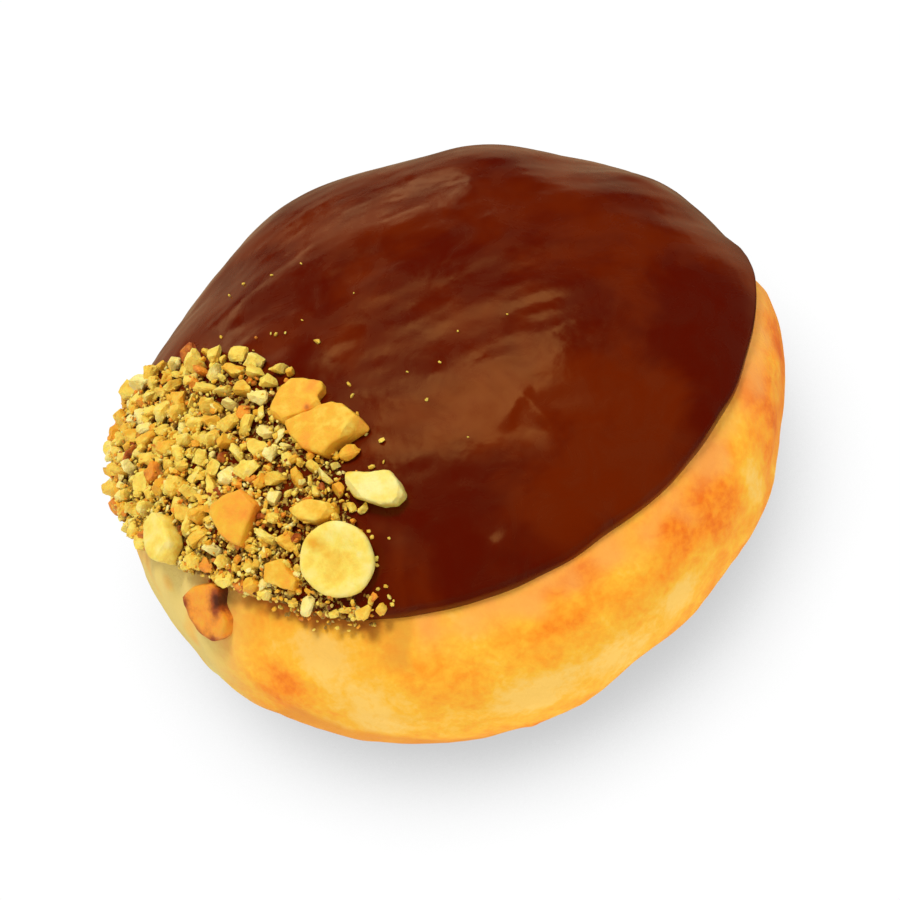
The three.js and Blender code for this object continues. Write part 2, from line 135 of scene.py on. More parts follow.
PATCH_CENTRE = (-52 * MM, -14 * MM)
PATCH_RADIUS = 38 * MM
PATCH_FRAY = 2 * MM
PATCH_AZIMUTHS = (126, 262)
PATCH_TOP = 84
GRAIN_COUNT = 620
GRAIN_TRIES = 60
LARGEST_GRAIN = 4.4 * MM
SMALLEST_GRAIN = 1.9 * MM
GRAIN_TAPER = 0.45
GRAIN_SPACING = 0.64
GRAIN_STAND = 0.22
GRAIN_CLEARANCE = 0.1 * MM
PLACE_SEED = 41


# ---- The form of the bun ----------------------------------------------------------------------

def waves(table, azimuth):
    """The sum of cosines round the bun, each with its count of waves, its height and a crest."""
    return sum(height * np.cos(np.radians(count * (azimuth - crest))) for count, height, crest in table)


def unit(vectors):
    """The same directions, each of length 1."""
    return vectors / np.linalg.norm(vectors, axis=-1, keepdims=True)


def plain_point(azimuth, latitude):
    """A superellipse of revolution: the reach is a power of the latitude's cosine and the height a
    power of its sine, one power above the waist and one below, and the lobes widen the reach."""
    u, v = np.radians(azimuth), np.radians(latitude)
    power = 2 / np.where(latitude > 0, UPPER_FULLNESS, LOWER_FULLNESS)
    depth = np.where(latitude > 0, TOP_HEIGHT - WAIST_HEIGHT, -BELLY_DEPTH)
    reach = HALF_WIDTH * (1 + waves(LOBES, azimuth)) * np.abs(np.cos(v)) ** power
    height = WAIST_HEIGHT + depth * np.abs(np.sin(v)) ** power
    return np.stack([reach * np.cos(u), reach * np.sin(u), height], axis=-1)


def outward(azimuth, latitude):
    """The direction in which swells, icing and nuts stand out: an ellipsoid's normal."""
    u, v = np.radians(azimuth), np.radians(latitude)
    depth = np.where(latitude > 0, TOP_HEIGHT - WAIST_HEIGHT, BELLY_DEPTH)
    flat = np.cos(v) / HALF_WIDTH
    return unit(np.stack([flat * np.cos(u), flat * np.sin(u), np.sin(v) / depth], axis=-1))


def swell_height(points):
    """Soft round bumps and hollows: each a bell curve of the distance to its middle."""
    total = np.zeros(points.shape[:-1])
    for azimuth, latitude, spread, height in SWELLS:
        middle = plain_point(np.float64(azimuth), np.float64(latitude))
        total += height * np.exp(-((points - middle) ** 2).sum(-1) / (2 * spread**2))
    return total


def dough_point(azimuth, latitude, lift=0.0):
    """The plain form moved outwards by the swells and by lift, and never below the floor."""
    azimuth, latitude = np.broadcast_arrays(np.asarray(azimuth, float), np.asarray(latitude, float))
    points = plain_point(azimuth, latitude)
    raised = np.asarray(swell_height(points) + lift)[..., None]
    points = points + outward(azimuth, latitude) * raised
    points[..., 2] = np.maximum(points[..., 2], 0)
    return points


def icing_edge(azimuth):
    """The latitude at which the icing ends."""
    return EDGE_MIDDLE + waves(EDGE_WAVES, azimuth)


def fold_height(points, folds):
    """Long soft folds: each a bell curve with one spread along it and one across."""
    total = np.zeros(points.shape[:-1])
    for x, y, turn, along, across, height in folds:
        c, s = math.cos(math.radians(turn)), math.sin(math.radians(turn))
        dx, dy = points[..., 0] - x, points[..., 1] - y
        lengthwise, crosswise = (c * dx + s * dy) / along, (c * dy - s * dx) / across
        total += height * np.exp(-(lengthwise**2 + crosswise**2) / 2)
    return total


def icing_depth(azimuth, latitude, above_edge, thickness):
    """A quarter round over the lip, then level, with the folds on it."""
    rest = 1 - np.clip(above_edge / LIP, 0, 1)
    return (thickness + fold_height(plain_point(azimuth, latitude), ICING_FOLDS)) * np.sqrt(1 - rest**2)


def surface_lift(azimuth, latitude, thickness):
    """How far the top surface stands over the plain dough: the icing above its edge, nothing below."""
    above = latitude - icing_edge(azimuth)
    return np.where(above > 0, GAP + icing_depth(azimuth, latitude, above, thickness), 0)


def ripple(points, wavelength, seed, count=14):
    """Smooth noise from -1 to 1 or so: the mean of plane waves in random directions."""
    rng = np.random.default_rng(seed)
    directions = unit(rng.normal(size=(count, 3))) * rng.uniform(0.7, 1.4, (count, 1))
    phases = rng.uniform(0, 2 * np.pi, count)
    angles = points @ (directions.T * 2 * np.pi / wavelength) + phases
    return np.cos(angles).sum(-1) * math.sqrt(2 / count) / 2


def ripples(points, table):
    """The sum of smooth noises, each (height, wavelength, seed)."""
    return sum(height * ripple(points, wavelength, seed) for height, wavelength, seed in table)


def smoothstep(low, high, values):
    """0 up to low and 1 from high on, with a soft rise between; it falls where low is above high."""
    share = np.clip((values - low) / (high - low), 0, 1)
    return share * share * (3 - 2 * share)


def patch_share(points, soft=3 * MM):
    """1 inside the patch of nuts, 0 well outside it: an upright cylinder at the side, softened."""
    distance = np.hypot(points[..., 0] - PATCH_CENTRE[0], points[..., 1] - PATCH_CENTRE[1])
    return 1 - smoothstep(PATCH_RADIUS - soft, PATCH_RADIUS + soft, distance)


# ---- Meshes -----------------------------------------------------------------------------------

def new_piece(name, points, triangles, material, smooth=True, attributes=None):
    """Puts whole arrays of points and triangles into a mesh that rides on the doughnut."""
    mesh = bpy.data.meshes.new(name)
    mesh.vertices.add(len(points))
    mesh.vertices.foreach_set("co", np.ascontiguousarray(points, np.float32).ravel())
    mesh.loops.add(triangles.size)
    mesh.loops.foreach_set("vertex_index", np.ascontiguousarray(triangles, np.int32).ravel())
    mesh.polygons.add(len(triangles))
    mesh.polygons.foreach_set("loop_start", np.arange(0, triangles.size, 3, dtype=np.int32))
    mesh.polygons.foreach_set("use_smooth", np.full(len(triangles), smooth))
    mesh.update(calc_edges=True)
    for key, values in (attributes or {}).items():
        mesh.attributes.new(key, "FLOAT", "POINT").data.foreach_set("value", np.float32(values).ravel())
    mesh.materials.append(material)
    piece = bpy.data.objects.new(name, mesh)
    bpy.context.scene.collection.objects.link(piece)
    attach(piece, BODY)
    return piece


def closed_surface(first, rows, last):
    """Points and triangles of a closed skin: rows of points that each go once round, and one point
    that closes either end. It faces out where the rows climb on the outside."""
    count, around = rows.shape[:2]
    points = np.vstack([np.reshape(first, (1, 3)), rows.reshape(-1, 3), np.reshape(last, (1, 3))])
    step = np.arange(around)
    after = (step + 1) % around
    low = 1 + np.arange(count - 1)[:, None] * around
    a, b, c, d = low + step, low + after, low + around + after, low + around + step
    top = 1 + (count - 1) * around
    ends = [
        np.stack([np.zeros_like(step), 1 + after, 1 + step], -1),
        np.stack([np.full_like(step, len(points) - 1), top + step, top + after], -1),
    ]
    sides = [np.stack([a, b, c], -1).reshape(-1, 3), np.stack([a, c, d], -1).reshape(-1, 3)]
    return points, np.vstack(ends + sides)


# ---- Materials --------------------------------------------------------------------------------

FINER_GRAIN = 4.3  # how many times finer the uneven grain's second noise is
FINER_SHARE = 0.4  # how much of its height that noise gives
CRUST_GRAIN = (700.0, 0.16 * MM)  # grains to a metre, and their depth
ICING_GRAIN = (160.0, 0.06 * MM)
FLESH_GRAIN = (900.0, 0.15 * MM)
CHOPPED_GRAIN = (1100.0, 0.22 * MM)
DUST_DEPTH = 0.25 * MM
ICING_BLOBS = 55.0  # blobs of tone to a metre
BLOB_SOFTNESS = 0.13  # half the range of noise over which one tone goes over into the other


def add_node(tree, kind, inputs=None, **settings):
    """Adds a node, sets its fields, and sets or links each of its inputs."""
    node = tree.nodes.new(kind)
    for field, value in settings.items():
        setattr(node, field, value)
    for key, value in (inputs or {}).items():
        if isinstance(value, bpy.types.NodeSocket):
            tree.links.new(value, node.inputs[key])
        else:
            node.inputs[key].default_value = value
    return node


def ramp(tree, factor, stops):
    """A colour ramp with the given stops of place and colour."""
    node = add_node(tree, "ShaderNodeValToRGB", {"Fac": factor})
    elements = node.color_ramp.elements
    while len(elements) < len(stops):
        elements.new(0.5)
    for element, (place, colour) in zip(elements, stops):
        element.position = place
        element.color = (*colour, 1)
    return node.outputs["Color"]


def mix_colour(tree, factor, under, over):
    """Lays one colour over another by a factor; each of the three is a value or a socket."""
    node = add_node(tree, "ShaderNodeMix", data_type="RGBA")
    for place, value in ((0, factor), (6, under), (7, over)):  # the sockets' places for colours
        if isinstance(value, bpy.types.NodeSocket):
            tree.links.new(value, node.inputs[place])
        else:
            node.inputs[place].default_value = value if place == 0 else (*value, 1)
    return node.outputs[2]


def noise(tree, place, wavelength, detail=3, roughness=0.5, distortion=0.0):
    """Noise whose blobs are about one wavelength apart."""
    inputs = {
        "Vector": place, "Scale": 1 / wavelength, "Detail": detail,
        "Roughness": roughness, "Distortion": distortion,
    }
    return add_node(tree, "ShaderNodeTexNoise", inputs).outputs["Fac"]


def stretch(tree, value, low, high, out_low=0.0, out_high=1.0):
    """Maps the range low to high smoothly onto the other range, whose ends may be sockets."""
    inputs = {"Value": value, "From Min": low, "From Max": high, "To Min": out_low, "To Max": out_high}
    node = add_node(tree, "ShaderNodeMapRange", inputs, interpolation_type="SMOOTHSTEP")
    return node.outputs["Result"]


def maths(tree, operation, first, second):
    """Puts two values or sockets through one Math node."""
    return add_node(tree, "ShaderNodeMath", {0: first, 1: second}, operation=operation).outputs[0]


def new_material(name, **constants):
    """A material with its shader's constant values set on the shader itself."""
    material = bpy.data.materials.new(name)
    material.use_nodes = True
    tree = material.node_tree
    shader = tree.nodes["Principled BSDF"]
    for key, value in constants.items():
        shader.inputs[key.replace("_", " ").title().replace("Ior", "IOR")].default_value = value
    place = add_node(tree, "ShaderNodeTexCoord").outputs["Object"]
    return material, tree, shader, place


def attribute(tree, name):
    """The named attribute of the mesh, as a value."""
    return add_node(tree, "ShaderNodeAttribute", attribute_name=name).outputs["Fac"]


def uneven_grain_group():
    """A node group for the height of a fine uneven grain: a coarse noise and a share of a finer one."""
    group = bpy.data.node_groups.new("uneven_grain", "ShaderNodeTree")
    for label, kind in (("Place", "NodeSocketVector"), ("Grains Per Metre", "NodeSocketFloat")):
        group.interface.new_socket(label, in_out="INPUT", socket_type=kind)
    group.interface.new_socket("Height", in_out="OUTPUT", socket_type="NodeSocketFloat")
    source, target = group.nodes.new("NodeGroupInput"), group.nodes.new("NodeGroupOutput")
    place, scale = source.outputs["Place"], source.outputs["Grains Per Metre"]
    finer = maths(group, "MULTIPLY", scale, FINER_GRAIN)
    coarse, fine = (
        add_node(group, "ShaderNodeTexNoise", {"Vector": place, "Scale": each, "Detail": 2}).outputs["Fac"]
        for each in (scale, finer))
    share = maths(group, "MULTIPLY", fine, FINER_SHARE)
    group.links.new(maths(group, "ADD", coarse, share), target.inputs["Height"])
    return group


def bumped(tree, height, distance, under=None):
    """The normal of a surface with this height on it, on top of another normal if there is one."""
    inputs = {"Height": height, "Distance": distance}
    if under is not None:
        inputs["Normal"] = under
    return add_node(tree, "ShaderNodeBump", inputs).outputs["Normal"]


def grained(tree, place, grains, depth):
    """The normal of a surface with uneven grain on it, from the group that is made once for all."""
    group = bpy.data.node_groups.get("uneven_grain") or uneven_grain_group()
    inputs = {"Place": place, "Grains Per Metre": grains}
    height = add_node(tree, "ShaderNodeGroup", inputs, node_tree=group).outputs["Height"]
    return bumped(tree, height, depth)


def crust_material(colours):
    """Fried dough: from pale yellow over golden to deep orange by its browning attribute, which also holds
    one painted highlight, and finer noise, and glossier the browner it is. Each other attribute mixes in a
    colour of its own."""
    material, tree, shader, place = new_material("fried_crust", ior=1.4, specular_ior_level=0.16)
    blobs = stretch(tree, noise(tree, place, 3.2 * MM, 4, 0.62, 0.5), 0.32, 0.68, -0.13, 0.13)
    flecks = stretch(tree, noise(tree, place, 0.9 * MM, 3, 0.6), 0.34, 0.66, -0.07, 0.07)
    browned_and_highlight = maths(tree, "ADD", maths(tree, "ADD", attribute(tree, "browning"), blobs), flecks)
    fried = ramp(tree, browned_and_highlight, [
        (0.0, colours.pale), (0.28, colours.yellow), (0.5, colours.golden), (0.74, colours.orange),
        (1.0, colours.deep_orange),
    ])
    clouds = stretch(tree, noise(tree, place, 6 * MM), 0.35, 0.65, 0.4, 1.0)
    near_icing = maths(tree, "MULTIPLY", attribute(tree, "blush"), clouds)
    fried = mix_colour(tree, near_icing, fried, colours.upper_side)
    for name, colour in (("base", colours.base_line), ("flank_and_painted_light", colours.flank_and_painted_light),
                         ("stain", colours.stain), ("smear", colours.smear)):
        fried = mix_colour(tree, attribute(tree, name), fried, colour)
    tree.links.new(fried, shader.inputs["Base Color"])
    tree.links.new(grained(tree, place, *CRUST_GRAIN), shader.inputs["Normal"])
    tree.links.new(stretch(tree, browned_and_highlight, 0, 1, 0.68, 0.5), shader.inputs["Roughness"])
    return material


def icing_material(colours):
    """Set chocolate icing: a satin brown that drifts darker in blobs, more or less so by an attribute of tone
    that also holds painted shade beside the half nut, with nut dust on it, thick among the nuts and rare
    elsewhere, which is duller and stands out a little."""
    material, tree, shader, place = new_material(
        "chocolate_icing", specular_ior_level=0.34, specular_tint=(1, 0.8, 0.36, 1))
    # the balance holds painted shade beside the half nut as well as the icing's own tone
    balance = maths(tree, "ADD", attribute(tree, "paler_tone_and_shade"), 0.5)
    low = maths(tree, "SUBTRACT", balance, BLOB_SOFTNESS)
    high = maths(tree, "ADD", balance, BLOB_SOFTNESS)
    darker = stretch(tree, noise(tree, place, 1 / ICING_BLOBS, 4, 0.6, 0.4), low, high)
    brown = mix_colour(tree, darker, colours.icing, colours.icing_dark)
    dust = noise(tree, place, 0.8 * MM, 4, 0.7)
    threshold = stretch(tree, attribute(tree, "patch"), 0.05, 1, 0.78, 0.5)
    dusted = stretch(tree, maths(tree, "SUBTRACT", dust, threshold), 0, 0.06)
    tree.links.new(mix_colour(tree, dusted, brown, colours.dust), shader.inputs["Base Color"])
    satin = stretch(tree, noise(tree, place, 7 * MM, 4, 0.6, 0.6), 0.36, 0.64, 0.16, 0.32)
    tree.links.new(stretch(tree, dusted, 0, 1, satin, 0.8), shader.inputs["Roughness"])
    soft = grained(tree, place, *ICING_GRAIN)
    tree.links.new(bumped(tree, dusted, DUST_DEPTH, soft), shader.inputs["Normal"])
    return material


def nut_material(name, colours, grains, depth):
    """Nut: its tone attribute runs from brown skin to cream, with painted shade on the large pieces'
    undersides, its powder attribute lays on powder that icing has darkened together with painted shade on the
    crumbs' lower parts, on the deeper crumbs and at the patch's left end, and its grain is fine."""
    material, tree, shader, place = new_material(
        name, roughness=0.5, ior=1.45, subsurface_weight=0.15, subsurface_scale=0.8 * MM)
    wander = noise(tree, place, 1.6 * MM, 4, 0.6)
    shifted = maths(tree, "ADD", attribute(tree, "tone"), stretch(tree, wander, 0.3, 0.7, -0.08, 0.08))
    colour = ramp(tree, shifted, [
        (0.0, colours.skin), (0.16, colours.red_brown), (0.36, colours.orange),
        (0.56, colours.gold), (0.78, colours.yellow), (1.0, colours.cream),
    ])
    patches = stretch(tree, noise(tree, place, 0.9 * MM, 3, 0.6), 0.3, 0.7, -0.25, 0.25)
    powder_and_painted_shade = maths(tree, "ADD", attribute(tree, "powder_and_painted_shade"), patches)
    colour = mix_colour(tree, stretch(tree, powder_and_painted_shade, 0.2, 0.9), colour, colours.olive_powder_and_shade)
    tree.links.new(colour, shader.inputs["Base Color"])
    tree.links.new(grained(tree, place, grains, depth), shader.inputs["Normal"])
    return material


# ---- Dough ------------------------------------------------------------------------------------

DOUGH_AROUND = 440
DISC_ROWS = 6
SIDE_ROWS = 170
HIDDEN_ROWS = 14
HIDDEN_FROM = 44  # latitude above which icing covers the dough everywhere
CALM_BY = 14  # degrees above the flat spot over which the relief comes up
CRUST_LUMPS = [(0.22 * MM, 17 * MM, 3), (0.1 * MM, 6.5 * MM, 4)]  # height, wavelength, seed
CRUST_WRINKLES = (0.045 * MM, 2.4 * MM, 5)
WRINKLED_SPOTS = (0.5, 11 * MM, 6)
BLISTERS = 150
BLISTER_LATITUDES = (-50, 38)
BLISTER_SPREADS = (0.5, 1.5)  # millimetres, as are the heights
BLISTER_HEIGHTS = (0.08, 0.2)
BROWNING = [(0.12, 13 * MM, 12), (0.08, 6 * MM, 14), (0.04, 2.6 * MM, 15)]  # share, wavelength, seed
NORTH_SQUASH = 0.55  # a degree of latitude's length on the side, as a share of one on a ball
BASE_LINE = [  # azimuth, latitude at which the browner underside begins
    (196, -24), (206, -16), (222, 3), (240, -5), (256, -17), (300, -25),
]
CRUST_SPOTS_AND_HIGHLIGHT = [  # azimuth, latitude, spread along, spread across, how much darker fried; one paler spot is a painted highlight
    (314, 27, 3, 1.5, 0.3), (306, 24, 3.5, 2, 0.35), (297, 25, 2, 1, 0.3), (283, 30, 4, 1.2, 0.3),
    (274, 30, 3, 1, 0.25), (276, 20, 4, 1.2, 0.35), (294, 16, 6, 2, 0.3), (302, -6, 5, 2, 0.1),
    (222, 12, 3, 2.5, 0.4), (270, 11, 4, 1.5, 0.15), (253, 11, 4, 2.5, 0.15), (331, 20, 1.8, 1.6, 0.6),
    # the first spot below is a painted highlight: a bright yellow streak down the side
    (316, 11, 2, 3, -0.45), (320, 26, 2, 1.5, -0.25), (342, 16, 3, 3, -0.2), (286, 21, 3, 1.6, -0.35),
    (268, 0, 7, 3, -0.3), (287, -4, 7, 2.5, -0.2), (294, 4, 3, 1.5, -0.25), (231, 18, 4, 3, -0.3),
    (238, 3, 3, 2.5, -0.35), (261, 4, 5, 2.5, -0.25), (226, 22, 5, 3, -0.3), (256, 27, 6, 2, -0.2),
    (346, 6, 3, 4, 0.3), (306, 14, 5, 3, 0.2), (335, 12, 9, 6, 0.2), (236, 6, 6, 4, -0.25),
    (285, 2, 14, 3, -0.15),
]

# Azimuths, or latitudes, between which a mark on the crust comes up or dies away.
BLUSH_STARTS = (246, 250)
STAIN_STARTS, STAIN_ENDS, STAIN_DARKENS = (196, 210), (248, 246), (239, 246)
FLANK_STARTS, FLANK_ENDS, FLANK_FOOT = (150, 185), (217, 203), (-26, -12)
SMEAR_STARTS, SMEAR_ENDS = (210, 215), (247, 238)


def flat_spot_latitude():
    """Where the plain form reaches the floor."""
    sine = (WAIST_HEIGHT / BELLY_DEPTH) ** (LOWER_FULLNESS / 2)
    return -math.degrees(math.asin(sine))


def crust_relief(points, latitude):
    """Low lumps and fine wrinkles from smooth noise, and small round blisters; none on the flat spot
    and less near it."""
    wrinkled = 0.5 + ripples(points, [WRINKLED_SPOTS])
    relief = ripples(points, CRUST_LUMPS) + ripples(points, [CRUST_WRINKLES]) * wrinkled
    rng = np.random.default_rng(7)
    turns = rng.uniform(0, 360, BLISTERS)
    heights = rng.uniform(*BLISTER_LATITUDES, BLISTERS)
    spreads = rng.uniform(*BLISTER_SPREADS, BLISTERS)
    for turn, height, spread in zip(turns, heights, spreads):
        apart = ((points - dough_point(turn, height)) ** 2).sum(-1)
        relief += rng.uniform(*BLISTER_HEIGHTS) * MM * np.exp(-apart / (2 * (spread * MM) ** 2))
    low = flat_spot_latitude()
    return relief * smoothstep(low, low + CALM_BY, latitude)


def crust_browning(points, azimuth, latitude):
    """How dark the crust is fried, 0 where it is middling: the spots, each a bell curve along and
    across the side, on slow and quicker noise. One paler spot is a painted highlight."""
    browning = ripples(points, BROWNING)
    for turn, height, along, across, darker in CRUST_SPOTS_AND_HIGHLIGHT:
        turned = (azimuth - turn + 180) % 360 - 180
        east = np.radians(turned) * HALF_WIDTH
        north = np.radians(latitude - height) * HALF_WIDTH * NORTH_SQUASH
        browning += darker * np.exp(-((east / (along * MM)) ** 2 + (north / (across * MM)) ** 2) / 2)
    return browning


def crust_marks(points, azimuth, latitude):
    """The crust's attributes, from 0 to 1: how browned it is, with one painted highlight among its spots, the
    blush below the icing, the browner base, the pale flank left of the nuts, partly painted light where that
    side faces the light, the dull stain below them, and icing smeared under the edge there. Each lies between
    its azimuths and latitudes, with a border that noise makes ragged."""
    below_icing = icing_edge(azimuth) - latitude
    below_line = np.interp(azimuth, *np.transpose(BASE_LINE), period=360) - latitude
    ragged = ripple(points, 5 * MM, 11)
    fine = ripple(points, 2.2 * MM, 13)
    waving = azimuth + 0.8 * np.sin(latitude / 3)
    stained = smoothstep(*STAIN_ENDS, waving) * smoothstep(*STAIN_STARTS, azimuth)
    stained_by = 0.25 + 0.4 * smoothstep(*STAIN_DARKENS, azimuth)
    # the pale flank is partly painted light, where the left side faces the light
    flank_and_painted_light = smoothstep(*FLANK_ENDS, azimuth) * smoothstep(*FLANK_STARTS, azimuth)
    flank_and_painted_light = flank_and_painted_light * smoothstep(*FLANK_FOOT, latitude)
    smeared = smoothstep(*SMEAR_STARTS, azimuth) * smoothstep(*SMEAR_ENDS, azimuth)
    return {
        "browning": 0.5 + crust_browning(points, azimuth, latitude),
        "blush": 0.75 * smoothstep(13, 3, below_icing + 3 * ragged) * smoothstep(*BLUSH_STARTS, azimuth),
        "base": smoothstep(-1.5, 2.5, below_line + 1.2 * ragged) * (0.82 + 0.18 * ragged),
        "flank_and_painted_light": 0.9 * flank_and_painted_light * (1 - 0.4 * smoothstep(0, 1, ragged)),
        "stain": stained * smoothstep(22, 8, below_icing + 3 * ragged) * stained_by,
        "smear": 0.85 * smeared * smoothstep(5.6, 2, below_icing + 1.6 * ragged + fine),
    }


def make_dough(settings):
    """The bun's whole skin: the flat spot's disc, then rows of latitude up to the top pole."""
    low = flat_spot_latitude()
    azimuth = np.arange(DOUGH_AROUND) * 360 / DOUGH_AROUND
    latitudes = np.concatenate([
        np.linspace(low, HIDDEN_FROM, SIDE_ROWS, endpoint=False),
        np.linspace(HIDDEN_FROM, 90, HIDDEN_ROWS, endpoint=False),
    ])
    turn, height = np.meshgrid(azimuth, latitudes)
    side = dough_point(turn, height)
    side += outward(turn, height) * crust_relief(side, height)[..., None]
    side[..., 2] = np.maximum(side[..., 2], 0)
    side[0, :, 2] = 0
    shares = np.arange(1, DISC_ROWS + 1)[:, None, None] / (DISC_ROWS + 1)
    rows = np.concatenate([side[0] * shares, side])
    points, triangles = closed_surface((0, 0, 0), rows, dough_point(0, 90))
    full_turn = np.concatenate([np.tile(azimuth, (DISC_ROWS, 1)), turn])
    full_height = np.concatenate([np.full((DISC_ROWS, DOUGH_AROUND), low), height])
    attributes = {key: np.concatenate([[values.flat[0]], values.ravel(), [values.flat[-1]]])
                  for key, values in crust_marks(rows, full_turn, full_height).items()}
    material = crust_material(settings)
    piece = new_piece("doughnut_crust", points, triangles, material, attributes=attributes)
    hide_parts("dough")


# ---- Icing ------------------------------------------------------------------------------------

ICING_AROUND = 440
LIP_ROWS = 14
DOME_ROWS = 150
INNER_ROWS = 6
SUNK = 0.25 * MM  # how deep the lip's foot lies in the crust
EDGE_RAGGEDNESS = [(7, 0.25), (11, 0.2), (16, 0.14), (23, 0.1), (31, 0.07)]  # waves round the bun, height
ICING_STREAKS = [  # how x, y and z are drawn together, height, wavelength, seed
    ((1, 1, 1), 0.12 * MM, 16 * MM, 21),
    ((0.25, 1, 0.6), 0.1 * MM, 6.5 * MM, 23),
    ((0.5, 1, 0.7), 0.035 * MM, 3.2 * MM, 24),
    ((1, 1, 1), 0.006 * MM, 1.5 * MM, 25),
]
WRINKLES = [  # as the folds: x, y, turn, spread along, spread across, height
    (3 * MM, -11.5 * MM, -6, 9 * MM, 2.2 * MM, 0.3 * MM),
    (10.3 * MM, -19.5 * MM, -72, 2.6 * MM, 0.8 * MM, 0.24 * MM),
    (7.6 * MM, -18.4 * MM, 42, 1.8 * MM, 0.7 * MM, 0.2 * MM),
    (9.5 * MM, -26 * MM, -105, 4 * MM, 1.6 * MM, 0.35 * MM),
    (-1 * MM, -33.2 * MM, 10, 1.3 * MM, 0.9 * MM, 0.6 * MM),
    (-12.2 * MM, -30 * MM, -78, 4 * MM, 1.5 * MM, 0.4 * MM),
    (27 * MM, -8 * MM, 60, 5 * MM, 1.5 * MM, 0.15 * MM),
    (24 * MM, -27 * MM, 48, 5 * MM, 0.9 * MM, 0.12 * MM),
    (36.5 * MM, 17 * MM, -50, 3 * MM, 0.9 * MM, 0.3 * MM),
]
ICING_TONES_AND_SHADE = [  # as the folds, but the last number is how much paler the icing is there: its own tone, and painted shade beside the half nut
    (-6 * MM, -30 * MM, 0, 6 * MM, 6 * MM, -0.2),
    (34 * MM, -15 * MM, 60, 8 * MM, 5 * MM, -0.15),
    (6 * MM, 8 * MM, 0, 9 * MM, 4 * MM, -0.15),
    (9 * MM, -31.5 * MM, 20, 4 * MM, 3 * MM, 0.2),
    (22 * MM, -27 * MM, 50, 5 * MM, 3 * MM, 0.15),
    (11 * MM, -19 * MM, -10, 7 * MM, 5 * MM, 0.15),
]


def edge_wander(azimuth):
    """Small uneven waves of the icing's edge, in degrees of latitude, with random crests."""
    crests = np.random.default_rng(17).uniform(0, 360, len(EDGE_RAGGEDNESS))
    return waves([(count, height, crest) for (count, height), crest in zip(EDGE_RAGGEDNESS, crests)], azimuth)


def icing_relief(points):
    """Slow waves and streaks that dipping left, long in x and short in y, and the wrinkles."""
    streaks = sum(height * ripple(points * drawn, wavelength, seed)
                  for drawn, height, wavelength, seed in ICING_STREAKS)
    return streaks + fold_height(points, WRINKLES)


def make_icing(settings):
    """The icing's skin: an inner face from the pole down to the lip's foot, then the outer face over
    the rounded lip and up to the pole."""
    azimuth = np.arange(ICING_AROUND) * 360 / ICING_AROUND
    edge = icing_edge(azimuth) + edge_wander(azimuth)
    lip = 1 - np.cos(np.linspace(0, np.pi / 2, LIP_ROWS))
    dome = np.linspace(0, 1, DOME_ROWS + 1, endpoint=False)[1:]
    above = np.concatenate([lip[:, None] * LIP + 0 * edge, LIP + dome[:, None] * (90 - LIP - edge)])
    turn = np.broadcast_to(azimuth, above.shape)
    height = edge + above
    depth = icing_depth(turn, height, above, settings.thickness)
    rise = smoothstep(0, LIP, above)
    lift = np.where(above > 0, depth + GAP * rise - SUNK * (1 - rise), -SUNK)
    outer = dough_point(turn, height, lift)
    outer += outward(turn, height) * (icing_relief(outer) * rise)[..., None]
    inner_shares = np.linspace(0, 1, INNER_ROWS, endpoint=False)[1:][::-1]
    inner_height = edge + inner_shares[:, None] * (90 - edge)
    inner = dough_point(np.broadcast_to(azimuth, inner_height.shape), inner_height, -SUNK)
    rows = np.concatenate([inner, outer])
    crown = dough_point(0, 90, GAP + icing_depth(0, 90.0, 90.0, settings.thickness))
    points, triangles = closed_surface(dough_point(0, 90, -SUNK), rows, crown)
    # the icing's tone, with painted shade beside the half nut
    attributes = {"patch": patch_share(points), "paler_tone_and_shade": fold_height(points, ICING_TONES_AND_SHADE)}
    material = icing_material(settings)
    piece = new_piece("chocolate_icing", points, triangles, material, attributes=attributes)
    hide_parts("icing")


# ---- Large nut pieces -------------------------------------------------------------------------

NUT_MARKS_AND_SHADE = [  # name, east and north of its middle, spread, how much darker; the skin piece's mark at 1.4, 2.2 is painted shade on one side of it
    ("nut_half", -0.3, -0.3, 2.1, 0.24), ("nut_half", -3.1, 1.8, 0.5, 0.25),
    ("nut_half", -4, 2.4, 1.2, 0.12), ("nut_small_flake", 2.3, -0.2, 0.45, 0.42),
    ("nut_small_flake", 0.5, 2, 1.2, 0.08), ("nut_large_flake", -2, -3, 1.5, 0.12),
    ("nut_tan_piece", 1.2, 2.4, 1.4, 0.12), ("nut_skin_piece", -4.4, -0.6, 1.1, 0.34),
    ("nut_skin_piece", -3, -2.4, 1.1, 0.34), ("nut_skin_piece", -0.6, -3.4, 1, 0.34),
    ("nut_skin_piece", 2.6, -3.4, 1, 0.3), ("nut_skin_piece", 1.4, 2.2, 1.4, 0.4),
    ("nut_pale_chunk", -3.6, 1.7, 0.6, 0.6), ("nut_pale_chunk", -1.6, 1.8, 0.5, 0.5),
    ("nut_pale_chunk", 0.4, 1.9, 0.5, 0.5),
]
SHARPER_OUTLINES = {  # as in the table of chips, but with the crisper corners that show
    "nut_large_flake": [(-6.2, -1.3), (-4.7, -2.7), (-2, -3.6), (1.5, -3.4), (1.9, -2), (2.9, -0.8),
                        (4.8, 1.9), (2.2, 3), (0.5, 3.4), (-2.1, 2.8), (-3.5, 1.1)],
    "nut_small_flake": [(-0.1, -4.2), (1.6, -3.6), (2.1, -2.3), (2.6, -0.6), (3, 1.4), (1.8, 1.6),
                        (1.5, 2.8), (0.3, 3.4), (-1.5, 2), (-2.8, 0.6), (-3, -1), (-2.3, -2.6),
                        (-1.4, -3.7)],
    "nut_pale_chunk": [(-3.4, -1.7), (0.5, -3), (2.4, -3), (3.3, -1.8), (2.5, 0), (1.5, 1.3),
                       (-4, 1.1), (-4, -0.6)],
}
CHIP_AROUND = 96
CHIP_ROWS = 44
CHIP_SQUARENESS = 8.0
